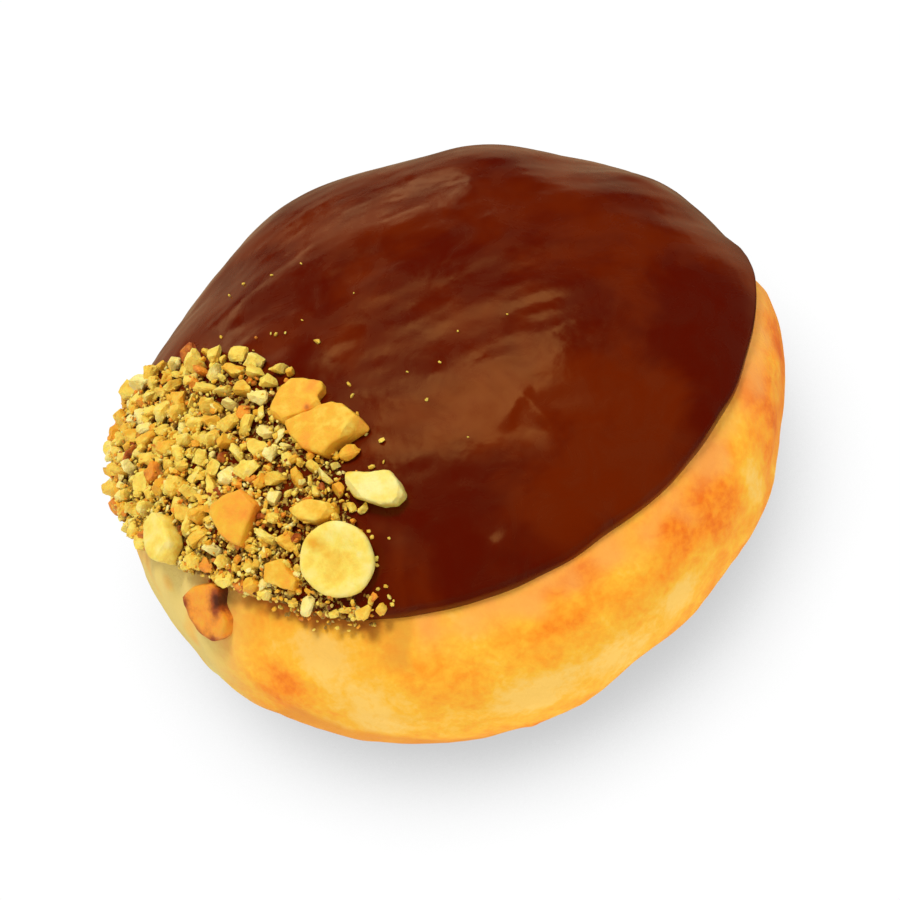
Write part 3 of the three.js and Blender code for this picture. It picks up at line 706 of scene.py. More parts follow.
CHIP_CUTS = 6
CHIP_SLANTS = (20, 62)
CHIP_CUT_AT = (0.84, 0.98)  # how far out the cuts lie, as a share of the reach there
CHIP_SINK = 0.5 * MM
CORNER_STEPS = 12  # how far a corner's rounding looks to either side, in steps round the piece
CORNER_ROUNDING = 0.7  # its spread, in such steps
HALF_NUT_WAVES = [  # waves round the nut, share of its radius, phase in radians
    (2, 0.018, 0.6), (3, 0.012, 2), (7, 0.008, 0),
]
HALF_NUT_ROUGHNESS = [(0.09 * MM, 3.2 * MM, 90), (0.03 * MM, 1 * MM, 91)]  # height, wavelength, seed


def seat_matrix(azimuth, latitude, rise, lean, thickness):
    """Turns a piece that was made flat, its top at z = 0, by its lean and moves it onto the icing."""
    azimuth, latitude = np.float64(azimuth), np.float64(latitude)
    out = outward(azimuth, latitude)
    east = np.array([-math.sin(math.radians(azimuth)), math.cos(math.radians(azimuth)), 0])
    basis = np.stack([east, np.cross(out, east), out], axis=-1)
    a, b = np.radians(lean)
    about_east = np.array([[1, 0, 0], [0, math.cos(a), -math.sin(a)], [0, math.sin(a), math.cos(a)]])
    about_north = np.array([[math.cos(b), 0, math.sin(b)], [0, 1, 0], [-math.sin(b), 0, math.cos(b)]])
    above = latitude - icing_edge(azimuth)
    lift = GAP + icing_depth(azimuth, latitude, above, thickness)
    return basis @ about_north @ about_east, dough_point(azimuth, latitude, lift) + out * rise


def outline_reach(outline, angles):
    """How far the outline reaches from its middle at each angle: the farthest crossing of a ray with
    a side, then smoothed by a bell curve, which rounds the corners off."""
    first = np.array(outline, float)
    second = np.roll(first, -1, axis=0)
    along = second - first
    rays = np.stack([np.cos(angles), np.sin(angles)], -1)[:, None, :]
    across = rays[..., 0] * along[:, 1] - rays[..., 1] * along[:, 0]
    with np.errstate(divide="ignore", invalid="ignore"):  # a ray along a side never crosses it
        reach = (first[:, 0] * along[:, 1] - first[:, 1] * along[:, 0]) / across
        share = (first[:, 0] * rays[..., 1] - first[:, 1] * rays[..., 0]) / across
    on_side = (share >= -1e-9) & (share <= 1 + 1e-9)
    reach = np.where((reach > 0) & on_side, reach, 0).max(1)
    steps = np.arange(-CORNER_STEPS, CORNER_STEPS + 1)
    window = np.exp(-((steps / CORNER_ROUNDING) ** 2) / 2)
    padded = np.concatenate([reach[-CORNER_STEPS:], reach, reach[:CORNER_STEPS]])
    return np.convolve(padded, window / window.sum(), "valid")


def chip_points(outline, thickness, seed):
    """A broken chip: its reach follows the outline and its height a squarish round, then slanted cuts
    flatten its rims and fine noise roughens it."""
    rng = np.random.default_rng(seed)
    outline = np.array(outline) * MM
    middle = outline.mean(0)
    angle = np.arange(CHIP_AROUND) * 2 * np.pi / CHIP_AROUND
    tilt = np.radians(np.linspace(-90, 90, CHIP_ROWS + 2)[1:-1])[:, None]
    reach = outline_reach(outline - middle, angle)
    power = 2 / CHIP_SQUARENESS
    flat = np.cos(tilt) ** power * reach
    half = (thickness * MM + CHIP_SINK) / 2
    height = np.sign(np.sin(tilt)) * np.abs(np.sin(tilt)) ** power * half - half
    east, north = middle[0] + flat * np.cos(angle), middle[1] + flat * np.sin(angle)
    rows = np.stack([east, north, height + 0 * flat], -1)
    for _ in range(CHIP_CUTS):
        turn = rng.uniform(0, 2 * np.pi)
        slant = math.radians(rng.uniform(*CHIP_SLANTS))
        level = math.cos(slant)
        normal = np.array([math.cos(turn) * level, math.sin(turn) * level, math.sin(slant)])
        reach_there = np.interp(turn, angle, reach, period=2 * np.pi)
        limit = normal[:2] @ middle + reach_there * level * rng.uniform(*CHIP_CUT_AT)
        rows = rows - normal * np.maximum(rows @ normal - limit, 0)[..., None]
    roughness = [(0.1 * MM, 0.8 * reach.max(), seed + 1), (0.05 * MM, 1.3 * MM, seed + 2)]
    away = unit(rows - np.array([*middle, -half]))
    rows = rows + away * ripples(rows, roughness)[..., None]
    return np.array([*middle, -2 * half]), rows, np.array([*middle, 0])


def half_nut_points():
    """A turned profile, smoothed, whose radius wanders a little round the nut."""
    profile = np.array(HALF_NUT_PROFILE) * MM
    length = np.concatenate([[0], np.cumsum(np.hypot(*np.diff(profile, axis=0).T))])
    place = np.linspace(0, length[-1], CHIP_ROWS + 2)
    radius = np.interp(place, length, profile[:, 0])
    height = np.interp(place, length, profile[:, 1])
    window = np.ones(5) / 5
    radius[2:-2] = np.convolve(radius, window, "valid")
    height[2:-2] = np.convolve(height, window, "valid")
    angle = np.arange(CHIP_AROUND) * 2 * np.pi / CHIP_AROUND
    wander = sum((share * np.cos(count * angle + phase) for count, share, phase in HALF_NUT_WAVES), 1)
    flat = radius[1:-1, None] * wander
    rows = np.stack([flat * np.cos(angle), flat * np.sin(angle), height[1:-1, None] + 0 * flat], -1)
    rows[..., 2] += ripples(rows, HALF_NUT_ROUGHNESS)
    return np.array([0, 0, height[0]]), rows, np.array([0, 0, height[-1]])


def nut_tones_and_painted_shade(name, tone, points):
    """The piece's own tone with slow noise on it, with painted shade on its underside, and darker on its
    marks, each a round bell curve seen from above; one of these marks is painted shade too."""
    millimetres = points / MM
    tones = tone + 0.05 * ripple(points, 3 * MM, len(name))
    # painted shade on the piece's underside
    tones -= 0.1 * smoothstep(-0.5, -1.6, millimetres[:, 2])
    for marked, east, north, spread, darker in NUT_MARKS_AND_SHADE:
        if marked == name:
            apart = np.hypot(millimetres[:, 0] - east, millimetres[:, 1] - north)
            tones -= darker * np.exp(-((apart / spread) ** 2) / 2)
    return tones


def make_large_nuts(settings, thickness):
    """Each large piece: its own points, made flat, given their tones, and seated on the icing."""
    material = nut_material("nut_flesh", settings, *FLESH_GRAIN)
    made = [(name, azimuth, latitude, rise, lean, tone,
             chip_points(SHARPER_OUTLINES.get(name, outline), thick, 50 + 3 * index))
            for index, (name, azimuth, latitude, thick, rise, lean, tone, outline) in enumerate(CHIPS)]
    made.append((*HALF_NUT, half_nut_points()))
    for name, azimuth, latitude, rise, lean, tone, skin in made:
        points, triangles = closed_surface(*skin)
        tones = nut_tones_and_painted_shade(name, tone, points)
        turn, place = seat_matrix(azimuth, latitude, rise * MM, lean, thickness)
        piece = new_piece(name + "_detail", points @ turn.T + place, triangles, material,
                          attributes={"tone": tones, "powder_and_painted_shade": 0 * tones})
        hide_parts(name)


# ---- Chopped grains and crumbs ----------------------------------------------------------------

FINE_SIZES = (0.45 * MM, 1.0 * MM)
MIDDLE_SIZES = (0.9 * MM, 2.1 * MM)
SIZE_BIAS = 1.6  # the power that makes smaller middling bits commoner
HEAP = 1.1 * MM  # how high fine crumbs are heaped on the patch
CRUMB_STAND = 0.25  # how far a fine crumb's middle stands over what it lies on, of its size
GRAIN_SWELL = 1.12  # makes up for what slicing takes off the larger grains
CRUMB_WIDTHS = (0.55, 1)  # as shares of a crumb's length, as are the heights
CRUMB_HEIGHTS = (0.4, 0.8)
CORNER_JITTER = (0.86, 1)
SLICES = (0.3, 0.75)  # how far from the middle a crumb is sliced, of its unit form
CRUMB_TONES = (0.12, 0.36, 0.58, 0.76, 0.94)  # red-brown, orange, golden, yellow, cream
GRAIN_SHARES = (0.01, 0.06, 0.27, 0.54, 0.12)  # of each tone among the larger grains
BIT_SHARES = (0.03, 0.14, 0.27, 0.42, 0.14)
CRUMB_SHARES = (0.03, 0.1, 0.35, 0.42, 0.1)
STRAY_TONE = 0.7
POWDER_AND_SHADE_SIDE = (-30 * MM, -42 * MM)  # x at which the patch's left end begins to be powdery and darker with painted shade, and where it is fully so
THROW_AZIMUTHS = (105, 275)
THROW_LATITUDES = (6, 86)
THROW_STEP = 0.5  # degrees, for measuring the area round a place
THIN_FROM, THIN_TO = 27 * MM, 36 * MM  # from the patch's middle, where its grains begin to thin out
STRAY_CRUMBS = [  # azimuth, latitude, size: crumbs that lie alone on the icing
    (157, 78, 1.5), (114, 65, 0.6), (122, 61, 0.7), (126, 54, 0.6), (130, 52, 0.6), (145, 57, 0.7),
    (140, 74, 0.5), (112, 79, 0.4), (286, 82, 0.8), (254, 83, 0.5), (214, 78, 0.9), (264, 77, 0.8),
    (151, 55, 0.8), (339, 76, 0.4), (325, 83, 0.4), (274, 67, 0.5), (242, 48, 0.9), (244, 42, 0.9),
    (245, 38, 0.8), (245, 52, 0.7), (242, 67, 0.7), (240, 71, 1.1), (238, 66, 1.2),
]


def seeded_numbers(seed, count):
    """A repeatable run of numbers from 0 to 1, the same run that places the solids' grains: the seed
    is stepped on by a constant and then mixed by shifts and by products of 32-bit numbers."""
    state = (seed + np.arange(1, count + 1, dtype=np.uint64) * np.uint64(0x6D2B79F5)).astype(np.uint32)
    mixed = (state ^ (state >> 15)) * (state | 1)
    mixed ^= mixed + (mixed ^ (mixed >> 7)) * (mixed | 61)
    return (mixed ^ (mixed >> 14)) / 2.0**32


def distance_outside(points, outline):
    """How far each point lies outside a closed outline, both seen from above, and 0 inside it."""
    first = np.array(outline, float)
    second = np.roll(first, -1, axis=0)
    along = second - first
    away = points[:, None, :] - first
    share = np.clip((away * along).sum(-1) / (along**2).sum(-1), 0, 1)
    nearest = np.linalg.norm(away - share[..., None] * along, axis=-1).min(1)
    crosses = (first[:, 1] > points[:, None, 1]) != (second[:, 1] > points[:, None, 1])
    rise = np.where(along[:, 1] == 0, 1, along[:, 1])
    crossing = first[:, 0] + along[:, 0] * away[..., 1] / rise
    inside = np.count_nonzero(crosses & (points[:, None, 0] < crossing), axis=1) % 2 == 1
    return np.where(inside, 0, nearest)


def nut_seats(thickness):
    """Each large piece's seat and outline, for keeping grains clear of it."""
    seats = [(seat_matrix(azimuth, latitude, rise * MM, lean, thickness), np.array(outline) * MM)
             for _, azimuth, latitude, _, rise, lean, _, outline in CHIPS]
    angle = np.radians(np.arange(0, 360, 18))
    radius = max(r for r, _ in HALF_NUT_PROFILE) * MM
    _, azimuth, latitude, rise, lean, _ = HALF_NUT
    circle = np.stack([radius * np.cos(angle), radius * np.sin(angle)], -1)
    seats.append((seat_matrix(azimuth, latitude, rise * MM, lean, thickness), circle))
    return seats


def grain_places(thickness):
    """Middles and sizes of the larger grains, thrown at the patch with the largest first. One stays
    where it is clear of those before it and of the large pieces, so only its last throw counts."""
    numbers = seeded_numbers(PLACE_SEED, 3 * GRAIN_COUNT * GRAIN_TRIES).reshape(-1, 3)
    seats = nut_seats(thickness)
    middles, sizes = np.zeros((0, 3)), np.zeros(0)
    used = 0
    for k in range(GRAIN_COUNT):
        size = LARGEST_GRAIN + (SMALLEST_GRAIN - LARGEST_GRAIN) * (k / GRAIN_COUNT) ** GRAIN_TAPER
        turn, climb, fray = numbers[used:used + GRAIN_TRIES].T
        azimuth = PATCH_AZIMUTHS[0] + (PATCH_AZIMUTHS[1] - PATCH_AZIMUTHS[0]) * turn
        edge = icing_edge(azimuth)
        latitude = edge + LIP / 2 + (PATCH_TOP - edge - LIP / 2) * climb
        on_icing = GAP + icing_depth(azimuth, latitude, latitude - edge, thickness) + GRAIN_STAND * size
        thrown = dough_point(azimuth, latitude, np.maximum(on_icing, GAP + GRAIN_CLEARANCE + size / 2))
        from_middle = np.hypot(*(thrown[:, :2] - PATCH_CENTRE).T)
        stays = from_middle < PATCH_RADIUS + PATCH_FRAY * (2 * fray - 1)
        apart = np.linalg.norm(thrown[:, None] - middles, axis=-1)
        stays &= (apart >= GRAIN_SPACING * (size + sizes) / 2).all(1)
        for (basis, place), outline in seats:
            seen = ((thrown - place) @ basis)[:, :2]
            stays &= distance_outside(seen, outline) >= size / 2 + GAP
        used += int(stays.argmax()) + 1 if stays.any() else GRAIN_TRIES
        if stays.any():
            middles, sizes = np.vstack([middles, thrown[stays.argmax()]]), np.append(sizes, size)
    return middles, sizes


def icosahedron():
    """Corners and faces of a ball with twenty faces."""
    g = (1 + math.sqrt(5)) / 2
    corners = [(-1, g, 0), (1, g, 0), (-1, -g, 0), (1, -g, 0), (0, -1, g), (0, 1, g),
               (0, -1, -g), (0, 1, -g), (g, 0, -1), (g, 0, 1), (-g, 0, -1), (-g, 0, 1)]
    faces = [(0, 11, 5), (0, 5, 1), (0, 1, 7), (0, 7, 10), (0, 10, 11), (1, 5, 9), (5, 11, 4), (11, 10, 2),
             (10, 7, 6), (7, 1, 8), (3, 9, 4), (3, 4, 2), (3, 2, 6), (3, 6, 8), (3, 8, 9), (4, 9, 5),
             (2, 4, 11), (6, 2, 10), (8, 6, 7), (9, 8, 1)]
    return unit(np.array(corners, float)), np.array(faces)


def blunt_cube(splits, roundness):
    """Corners and triangles of a cube, part of the way to a ball, each side split into squares."""
    line = np.linspace(-1, 1, splits + 1)
    side = np.array([(x, y) for y in line for x in line])
    low = (np.arange(splits)[:, None] * (splits + 1) + np.arange(splits)).ravel()
    quads = np.stack([low, low + 1, low + splits + 2, low + splits + 1], -1)
    ones = np.ones((len(side), 1))
    sides = [np.hstack([side, ones]), np.hstack([side[:, ::-1], -ones])]
    sides += [np.roll(s, turn, axis=1) for s in sides[:2] for turn in (1, 2)]
    faces = np.vstack([quads + len(side) * k for k in range(6)])
    corners, index = np.unique(np.vstack(sides).round(6), axis=0, return_inverse=True)
    faces = index.ravel()[faces]
    triangles = np.vstack([faces[:, [0, 1, 2]], faces[:, [0, 2, 3]]])
    return unit(corners) * roundness + corners * (1 - roundness) / math.sqrt(3), triangles


def random_turns(rng, count):
    """Random rotation matrices, from random unit quaternions."""
    w, x, y, z = unit(rng.normal(size=(count, 4))).T
    return np.stack([
        np.stack([1 - 2 * (y * y + z * z), 2 * (x * y - z * w), 2 * (x * z + y * w)], -1),
        np.stack([2 * (x * y + z * w), 1 - 2 * (x * x + z * z), 2 * (y * z - x * w)], -1),
        np.stack([2 * (x * z - y * w), 2 * (y * z + x * w), 1 - 2 * (x * x + y * y)], -1),
    ], axis=1)


def outward_at(points):
    """The direction in which the bun's upper side faces near each point: an ellipsoid's normal."""
    depth = TOP_HEIGHT - WAIST_HEIGHT
    level = points - np.array([0, 0, WAIST_HEIGHT])
    return unit(level / np.array([HALF_WIDTH, HALF_WIDTH, depth]) ** 2)


def crumb_cloud(shape, middles, sizes, rng, cuts, lumps):
    """One mesh of many crumbs: a unit form, stretched, its corners jittered, sliced flat by random
    planes, turned at random, made lumpy by noise and moved to its place. Each point also gets how
    deep it lies on its crumb, from 0 on its upper part to 1 on its lower part, which serves as a mask of
    painted shade."""
    corners, faces = shape
    count = len(sizes)
    widths, heights = rng.uniform(*CRUMB_WIDTHS, count), rng.uniform(*CRUMB_HEIGHTS, count)
    stretch_by = np.stack([np.ones(count), widths, heights], -1)
    points = corners[None] * rng.uniform(*CORNER_JITTER, (count, len(corners), 1))
    for _ in range(cuts):
        normals = unit(rng.normal(size=(count, 3)))
        limits = rng.uniform(*SLICES, count)
        past = np.maximum(np.einsum("nvk,nk->nv", points, normals) - limits[:, None], 0)
        points = points - past[..., None] * normals[:, None]
    points = np.einsum("nvk,njk->nvj", points * stretch_by[:, None], random_turns(rng, count))
    points = points * (sizes / 2)[:, None, None]
    points = points * (1 + lumps * ripple(points + middles[:, None], 1.4 * MM, 71))[..., None]
    climb = np.einsum("nvk,nk->nv", points, outward_at(middles)) / sizes[:, None]
    points = points + middles[:, None]
    index = faces[None] + np.arange(count)[:, None, None] * len(corners)
    return points.reshape(-1, 3), index.reshape(-1, 3), smoothstep(0.12, -0.3, climb).ravel()


def crumb_tones(rng, count, shares):
    """A tone of nut for each, drawn by the shares, and a little beside it."""
    return rng.choice(CRUMB_TONES, count, p=shares) + rng.normal(0, 0.04, count)


def add_crumbs(name, cloud, tones, powder_and_shade_share, material):
    """The mesh of one kind of crumb, with a tone and a share of powder for each, which is partly painted
    shade. Powder also lies on its lower part as painted shade, and on all of them at the patch's left end,
    partly as painted shade."""
    points, faces, deep = cloud
    each = len(points) // len(tones)
    # powder on each crumb's lower part is painted shade; at the patch's left end it is partly painted shade
    powder_and_painted_shade = np.maximum(np.repeat(powder_and_shade_share, each), 0.85 * deep)
    powder_and_painted_shade += 0.18 * smoothstep(*POWDER_AND_SHADE_SIDE, points[:, 0])
    tone = np.repeat(tones, each) + 0.06 * ripple(points, 1.7 * MM, 72)
    attributes = {"tone": tone, "powder_and_painted_shade": powder_and_painted_shade}
    return new_piece(name, points, faces, material, False, attributes)


def throw_crumbs(rng, tries, thickness, density):
    """Random places on the doughnut's top, as many to each area as the density there asks for."""
    azimuth = rng.uniform(*THROW_AZIMUTHS, tries)
    latitude = rng.uniform(*THROW_LATITUDES, tries)
    here = dough_point(azimuth, latitude)
    wide = dough_point(azimuth + THROW_STEP, latitude) - here
    high = dough_point(azimuth, latitude + THROW_STEP) - here
    area = np.linalg.norm(np.cross(wide, high), axis=1)
    keep = rng.uniform(0, area.max(), tries) < area * density(here, azimuth, latitude)
    azimuth, latitude = azimuth[keep], latitude[keep]
    return azimuth, latitude, surface_lift(azimuth, latitude, thickness)


def thinning(points):
    """1 in most of the patch, less towards its right end, where more icing shows between grains."""
    distance = np.hypot(points[:, 0] - PATCH_CENTRE[0], points[:, 1] - PATCH_CENTRE[1])
    return 1 - 0.65 * smoothstep(THIN_FROM, THIN_TO, distance)


def patch_density(points, azimuth, latitude):
    """Full in the patch, in clumps with gaps between, and only above the icing's edge."""
    clumps = smoothstep(-0.6, 0.3, ripple(points, 5 * MM, 31))
    on_icing = smoothstep(-1.0, 0.5, latitude - icing_edge(azimuth))
    return patch_share(points, 2.5 * MM) * (0.3 + 0.7 * clumps) * on_icing * thinning(points)


def crumb_density(points, azimuth, latitude):
    """As the patch, and thinly for some way round it and over the edge below it."""
    above = latitude - icing_edge(azimuth)
    over_edge = 0.45 * smoothstep(-5.0, -0.5, above) * smoothstep(214, 222, azimuth)
    thin = 0.06 * patch_share(points, 9 * MM) * (above > 0)
    round_about = np.maximum(thin, over_edge * patch_share(points))
    return np.maximum(patch_density(points, azimuth, latitude), round_about)


def larger_grains(rng, thickness):
    """The solids' grains, at the same places and sizes, as rough blocks free of powder."""
    middles, sizes = grain_places(thickness)
    cloud = crumb_cloud(blunt_cube(4, 0.4), middles, sizes * GRAIN_SWELL, rng, cuts=6, lumps=0.12)
    return cloud, crumb_tones(rng, len(sizes), GRAIN_SHARES), 0 * sizes


def middling_bits(rng, thickness, tries):
    """Bits between the grains, the deeper ones powdery, which is partly painted shade."""
    azimuth, latitude, lift = throw_crumbs(rng, tries, thickness, patch_density)
    smallest, largest = MIDDLE_SIZES
    sizes = smallest + (largest - smallest) * rng.uniform(0, 1, len(lift)) ** SIZE_BIAS
    stand = rng.uniform(0.1, 0.6, len(lift))
    middles = dough_point(azimuth, latitude, lift + sizes * stand)
    cloud = crumb_cloud(blunt_cube(2, 0.3), middles, sizes, rng, cuts=4, lumps=0.08)
    # the deeper bits get powder that is partly painted shade
    return cloud, crumb_tones(rng, len(sizes), BIT_SHARES), 0.6 * smoothstep(0.35, 0.1, stand)


def fine_crumbs(rng, thickness, tries):
    """Crumbs over both, heaped up inside the patch, the deeper ones powdery, which is partly painted shade;
    and the stray ones.
    """
    azimuth, latitude, lift = throw_crumbs(rng, tries, thickness, crumb_density)
    sizes = rng.uniform(*FINE_SIZES, len(lift))
    inside = patch_share(dough_point(azimuth, latitude), MM) > 0.5
    heaped = np.where(inside, rng.uniform(0, HEAP, len(lift)), 0)
    # the low-heaped crumbs get powder that is partly painted shade
    powder_and_shade_share = np.where(inside, 0.75 * smoothstep(0.8 * MM, 0.3 * MM, heaped), 0.2)
    stray_azimuth, stray_latitude, stray_size = np.transpose(STRAY_CRUMBS)
    stray_lift = surface_lift(stray_azimuth, stray_latitude, thickness)
    stray_lift += stray_size * MM * CRUMB_STAND
    lift = np.concatenate([lift + sizes * CRUMB_STAND + heaped, stray_lift])
    sizes = np.concatenate([sizes, stray_size * MM])
    azimuth = np.concatenate([azimuth, stray_azimuth])
    latitude = np.concatenate([latitude, stray_latitude])
    powder_and_shade_share = np.concatenate([powder_and_shade_share, np.full(len(stray_size), 0.1)])
    middles = dough_point(azimuth, latitude, lift)
    cloud = crumb_cloud(icosahedron(), middles, sizes, rng, cuts=3, lumps=0)
    tones = crumb_tones(rng, len(sizes), CRUMB_SHARES)
    tones[-len(stray_size):] = STRAY_TONE
    return cloud, tones, powder_and_shade_share


def make_grains(settings, thickness):
    """Three meshes of chopped nut, from one run of random numbers; the first stands for the grains
    on the icing's solid."""
    material = nut_material("chopped_nut", settings, *CHOPPED_GRAIN)
    rng = np.random.default_rng(61)
    kinds = {
        "chopped_nut_grains": larger_grains(rng, thickness),
        "chopped_nut_bits": middling_bits(rng, thickness, settings.middle_tries),
        "chopped_nut_crumbs": fine_crumbs(rng, thickness, settings.fine_tries),
    }
    pieces = [add_crumbs(name, *kind, material) for name, kind in kinds.items()]
    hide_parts("icing")


# ---- Stage ------------------------------------------------------------------------------------

CAMERA_LENS = 100  # millimetres
CAMERA_SENSOR = 36  # millimetres wide
CAMERA_HEIGHT = 50  # degrees above the horizon
CAMERA_ROLL = 25
CAMERA_DISTANCE = 330 * MM
CAMERA_AIM = (0, 0, 19.5 * MM)
CAMERA_NUDGE = (0.09 * MM, -3.15 * MM)  # right and up in the picture, which frames the doughnut
CAMERA_CLIP = (0.01, 50)
FLOOR_RADII = (0.75, 1.5, 3.0)
FLOOR_SIDES = 64
SHADOW_REACH = 70 * MM  # how far round the doughnut the floor's painted shadow reaches
WHITE = (1, 1, 1)
KEY_LIGHT = ((-0.02, 0.08, 1.0), 0.22, 0.22)  # place, width, height
REFLECTORS = [  # name, place, width, height, power in watts
    ("back_reflector", (-0.28, 1.2, 0.45), 1.2, 0.24, 1.9),
    ("top_reflector", (0.1, 0.54, 1.09), 0.62, 0.5, 3.3),
]


def make_camera():
    """A camera in front of the doughnut, raised, aimed at its middle and rolled about its own axis."""
    e, r = math.radians(CAMERA_HEIGHT), math.radians(CAMERA_ROLL)
    back = Vector((0, -math.cos(e), math.sin(e)))
    level, upright = Vector((1, 0, 0)), Vector((0, math.sin(e), math.cos(e)))
    right = math.cos(r) * level - math.sin(r) * upright
    up = math.sin(r) * level + math.cos(r) * upright
    place = Vector(CAMERA_AIM) + back * CAMERA_DISTANCE + right * CAMERA_NUDGE[0] + up * CAMERA_NUDGE[1]
    data = bpy.data.cameras.new("camera")
    data.lens = CAMERA_LENS
    data.sensor_width = CAMERA_SENSOR
    data.clip_start, data.clip_end = CAMERA_CLIP
    camera = bpy.data.objects.new("camera", data)
    camera.matrix_world = Matrix((
        (right.x, up.x, back.x, place.x), (right.y, up.y, back.y, place.y),
        (right.z, up.z, back.z, place.z), (0, 0, 0, 1),
    ))
    bpy.context.scene.collection.objects.link(camera)
    bpy.context.scene.camera = camera


def add_light(name, place, width, height, power, colour, reflected):
    """A soft oblong light that faces the doughnut: either gloss alone shows it, or all but gloss."""
    data = bpy.data.lights.new(name, "AREA")
    data.shape = "RECTANGLE"
    data.size, data.size_y = width, height
    data.energy = power
    data.color = colour
    light = bpy.data.objects.new(name, data)
    light.location = place
    light.rotation_euler = (Vector(CAMERA_AIM) - Vector(place)).to_track_quat("-Z", "Y").to_euler()
    light.visible_glossy = reflected
    light.visible_diffuse = not reflected
    bpy.context.scene.collection.objects.link(light)


def floor_material(settings):
    """Paper on a light table, as bright as the room about it, that glows as a lamp and gets no light
    itself: the picture shows its glow white, with a painted shadow in neutral grey round the doughnut,
    drawn from ambient occlusion. It lights the doughnut evenly, and gloss shows it dimly in front and
    brighter behind."""
    material, tree, shader, place = new_material(
        "floor_paper", roughness=0.9, specular_ior_level=0.0, base_color=(0, 0, 0, 1))
    path = add_node(tree, "ShaderNodeLightPath").outputs
    shade = add_node(tree, "ShaderNodeAmbientOcclusion", {"Distance": SHADOW_REACH}, samples=12)
    # the camera sees a painted shadow: ambient occlusion drawn into the floor's glow
    seen = stretch(tree, shade.outputs["AO"], 0.2, 0.82, settings.shadow, 1.02)
    north = add_node(tree, "ShaderNodeSeparateXYZ", {"Vector": place}).outputs["Y"]
    mirrored = stretch(tree, north, 0, 70 * MM, settings.floor_reflected, settings.far_floor_reflected)
    colour = mix_colour(tree, path["Is Glossy Ray"], WHITE, settings.reflector)
    tree.links.new(colour, shader.inputs["Emission Color"])
    glow = settings.floor_light
    for ray, strength in (("Is Camera Ray", seen), ("Is Glossy Ray", mirrored)):
        inputs = {"Value": path[ray], "To Min": glow, "To Max": strength}
        glow = add_node(tree, "ShaderNodeMapRange", inputs).outputs["Result"]
    tree.links.new(glow, shader.inputs["Emission Strength"])
    material.cycles.emission_sampling = "NONE"
    return material


def make_floor(settings):
    """A round floor: a fan of triangles to the first ring, and a pair to each side of the others."""
    step = np.arange(FLOOR_SIDES)
    after = (step + 1) % FLOOR_SIDES
    angle = step * 2 * np.pi / FLOOR_SIDES
    radii = np.array(FLOOR_RADII)[:, None]
    rings = np.stack([radii * np.cos(angle), radii * np.sin(angle), 0 * radii * angle], -1)
    points = np.vstack([[(0, 0, 0)], rings.reshape(-1, 3)])
    faces = [np.stack([0 * step, 1 + step, 1 + after], -1)]
    for ring in range(1, len(FLOOR_RADII)):
        outer = 1 + ring * FLOOR_SIDES
        inner = outer - FLOOR_SIDES
        faces.append(np.stack([inner + step, outer + step, outer + after], -1))
        faces.append(np.stack([inner + step, outer + after, inner + after], -1))
    mesh = bpy.data.meshes.new("floor")
    mesh.from_pydata(points.tolist(), [], np.vstack(faces).tolist())
    mesh.materials.append(floor_material(settings))
    floor = bpy.data.objects.new("floor", mesh)
    bpy.context.scene.collection.objects.link(floor)


def make_world(settings):
    """White surroundings that gloss doesn't reflect, so that the icing keeps its deep brown."""
    world = bpy.data.worlds.new("studio")
    bpy.context.scene.world = world
    world.use_nodes = True
    background = world.node_tree.nodes["Background"]
    background.inputs["Color"].default_value = (*WHITE, 1)
    background.inputs["Strength"].default_value = settings.surroundings
    world.cycles_visibility.glossy = False


# ---- Settings, operators and panel ------------------------------------------------------------

def colour_setting(name, description, default):
    """A colour that a user can change."""
    return bpy.props.FloatVectorProperty(
        name=name, description=description, default=default, subtype="COLOR", size=3, min=0, max=1)


class CrustSettings(bpy.types.PropertyGroup):
    pale: colour_setting("Pale", "The palest blisters", (1.0, 0.6, 0.12))
    yellow: colour_setting("Yellow", "Lightly fried", (1.0, 0.51, 0.036))
    golden: colour_setting("Golden", "The fried side's main colour", (1.0, 0.41, 0.025))
    orange: colour_setting("Orange", "Darker fried", (1.0, 0.3, 0.014))
    deep_orange: colour_setting("Deep orange", "The darkest spots", (0.9, 0.17, 0.005))
    upper_side: colour_setting("Upper side", "Just below the icing", (0.98, 0.43, 0.085))
    base_line: colour_setting("Base line", "Where the underside begins, and below", (0.86, 0.31, 0.03))
    # paler partly as painted light, where the left side faces the light
    flank_and_painted_light: colour_setting("Flank", "The pale flank below the nuts", (0.82, 0.64, 0.19))
    stain: colour_setting("Stain", "The duller dough beside the nuts", (0.74, 0.33, 0.04))
    smear: colour_setting("Smear", "Thin icing smeared below the edge", (0.4, 0.09, 0.008))


class IcingSettings(bpy.types.PropertyGroup):
    thickness: bpy.props.FloatProperty(
        name="Thickness", description="How thick the icing is", default=1.4 * MM, unit="LENGTH")
    icing: colour_setting("Icing", "The icing's colour", (0.14, 0.0115, 0.0001))
    icing_dark: colour_setting("Darker icing", "Where its tone drifts darker", (0.092, 0.0036, 0.0001))
    dust: colour_setting("Dust", "Nut dust on the icing", (0.5, 0.32, 0.06))


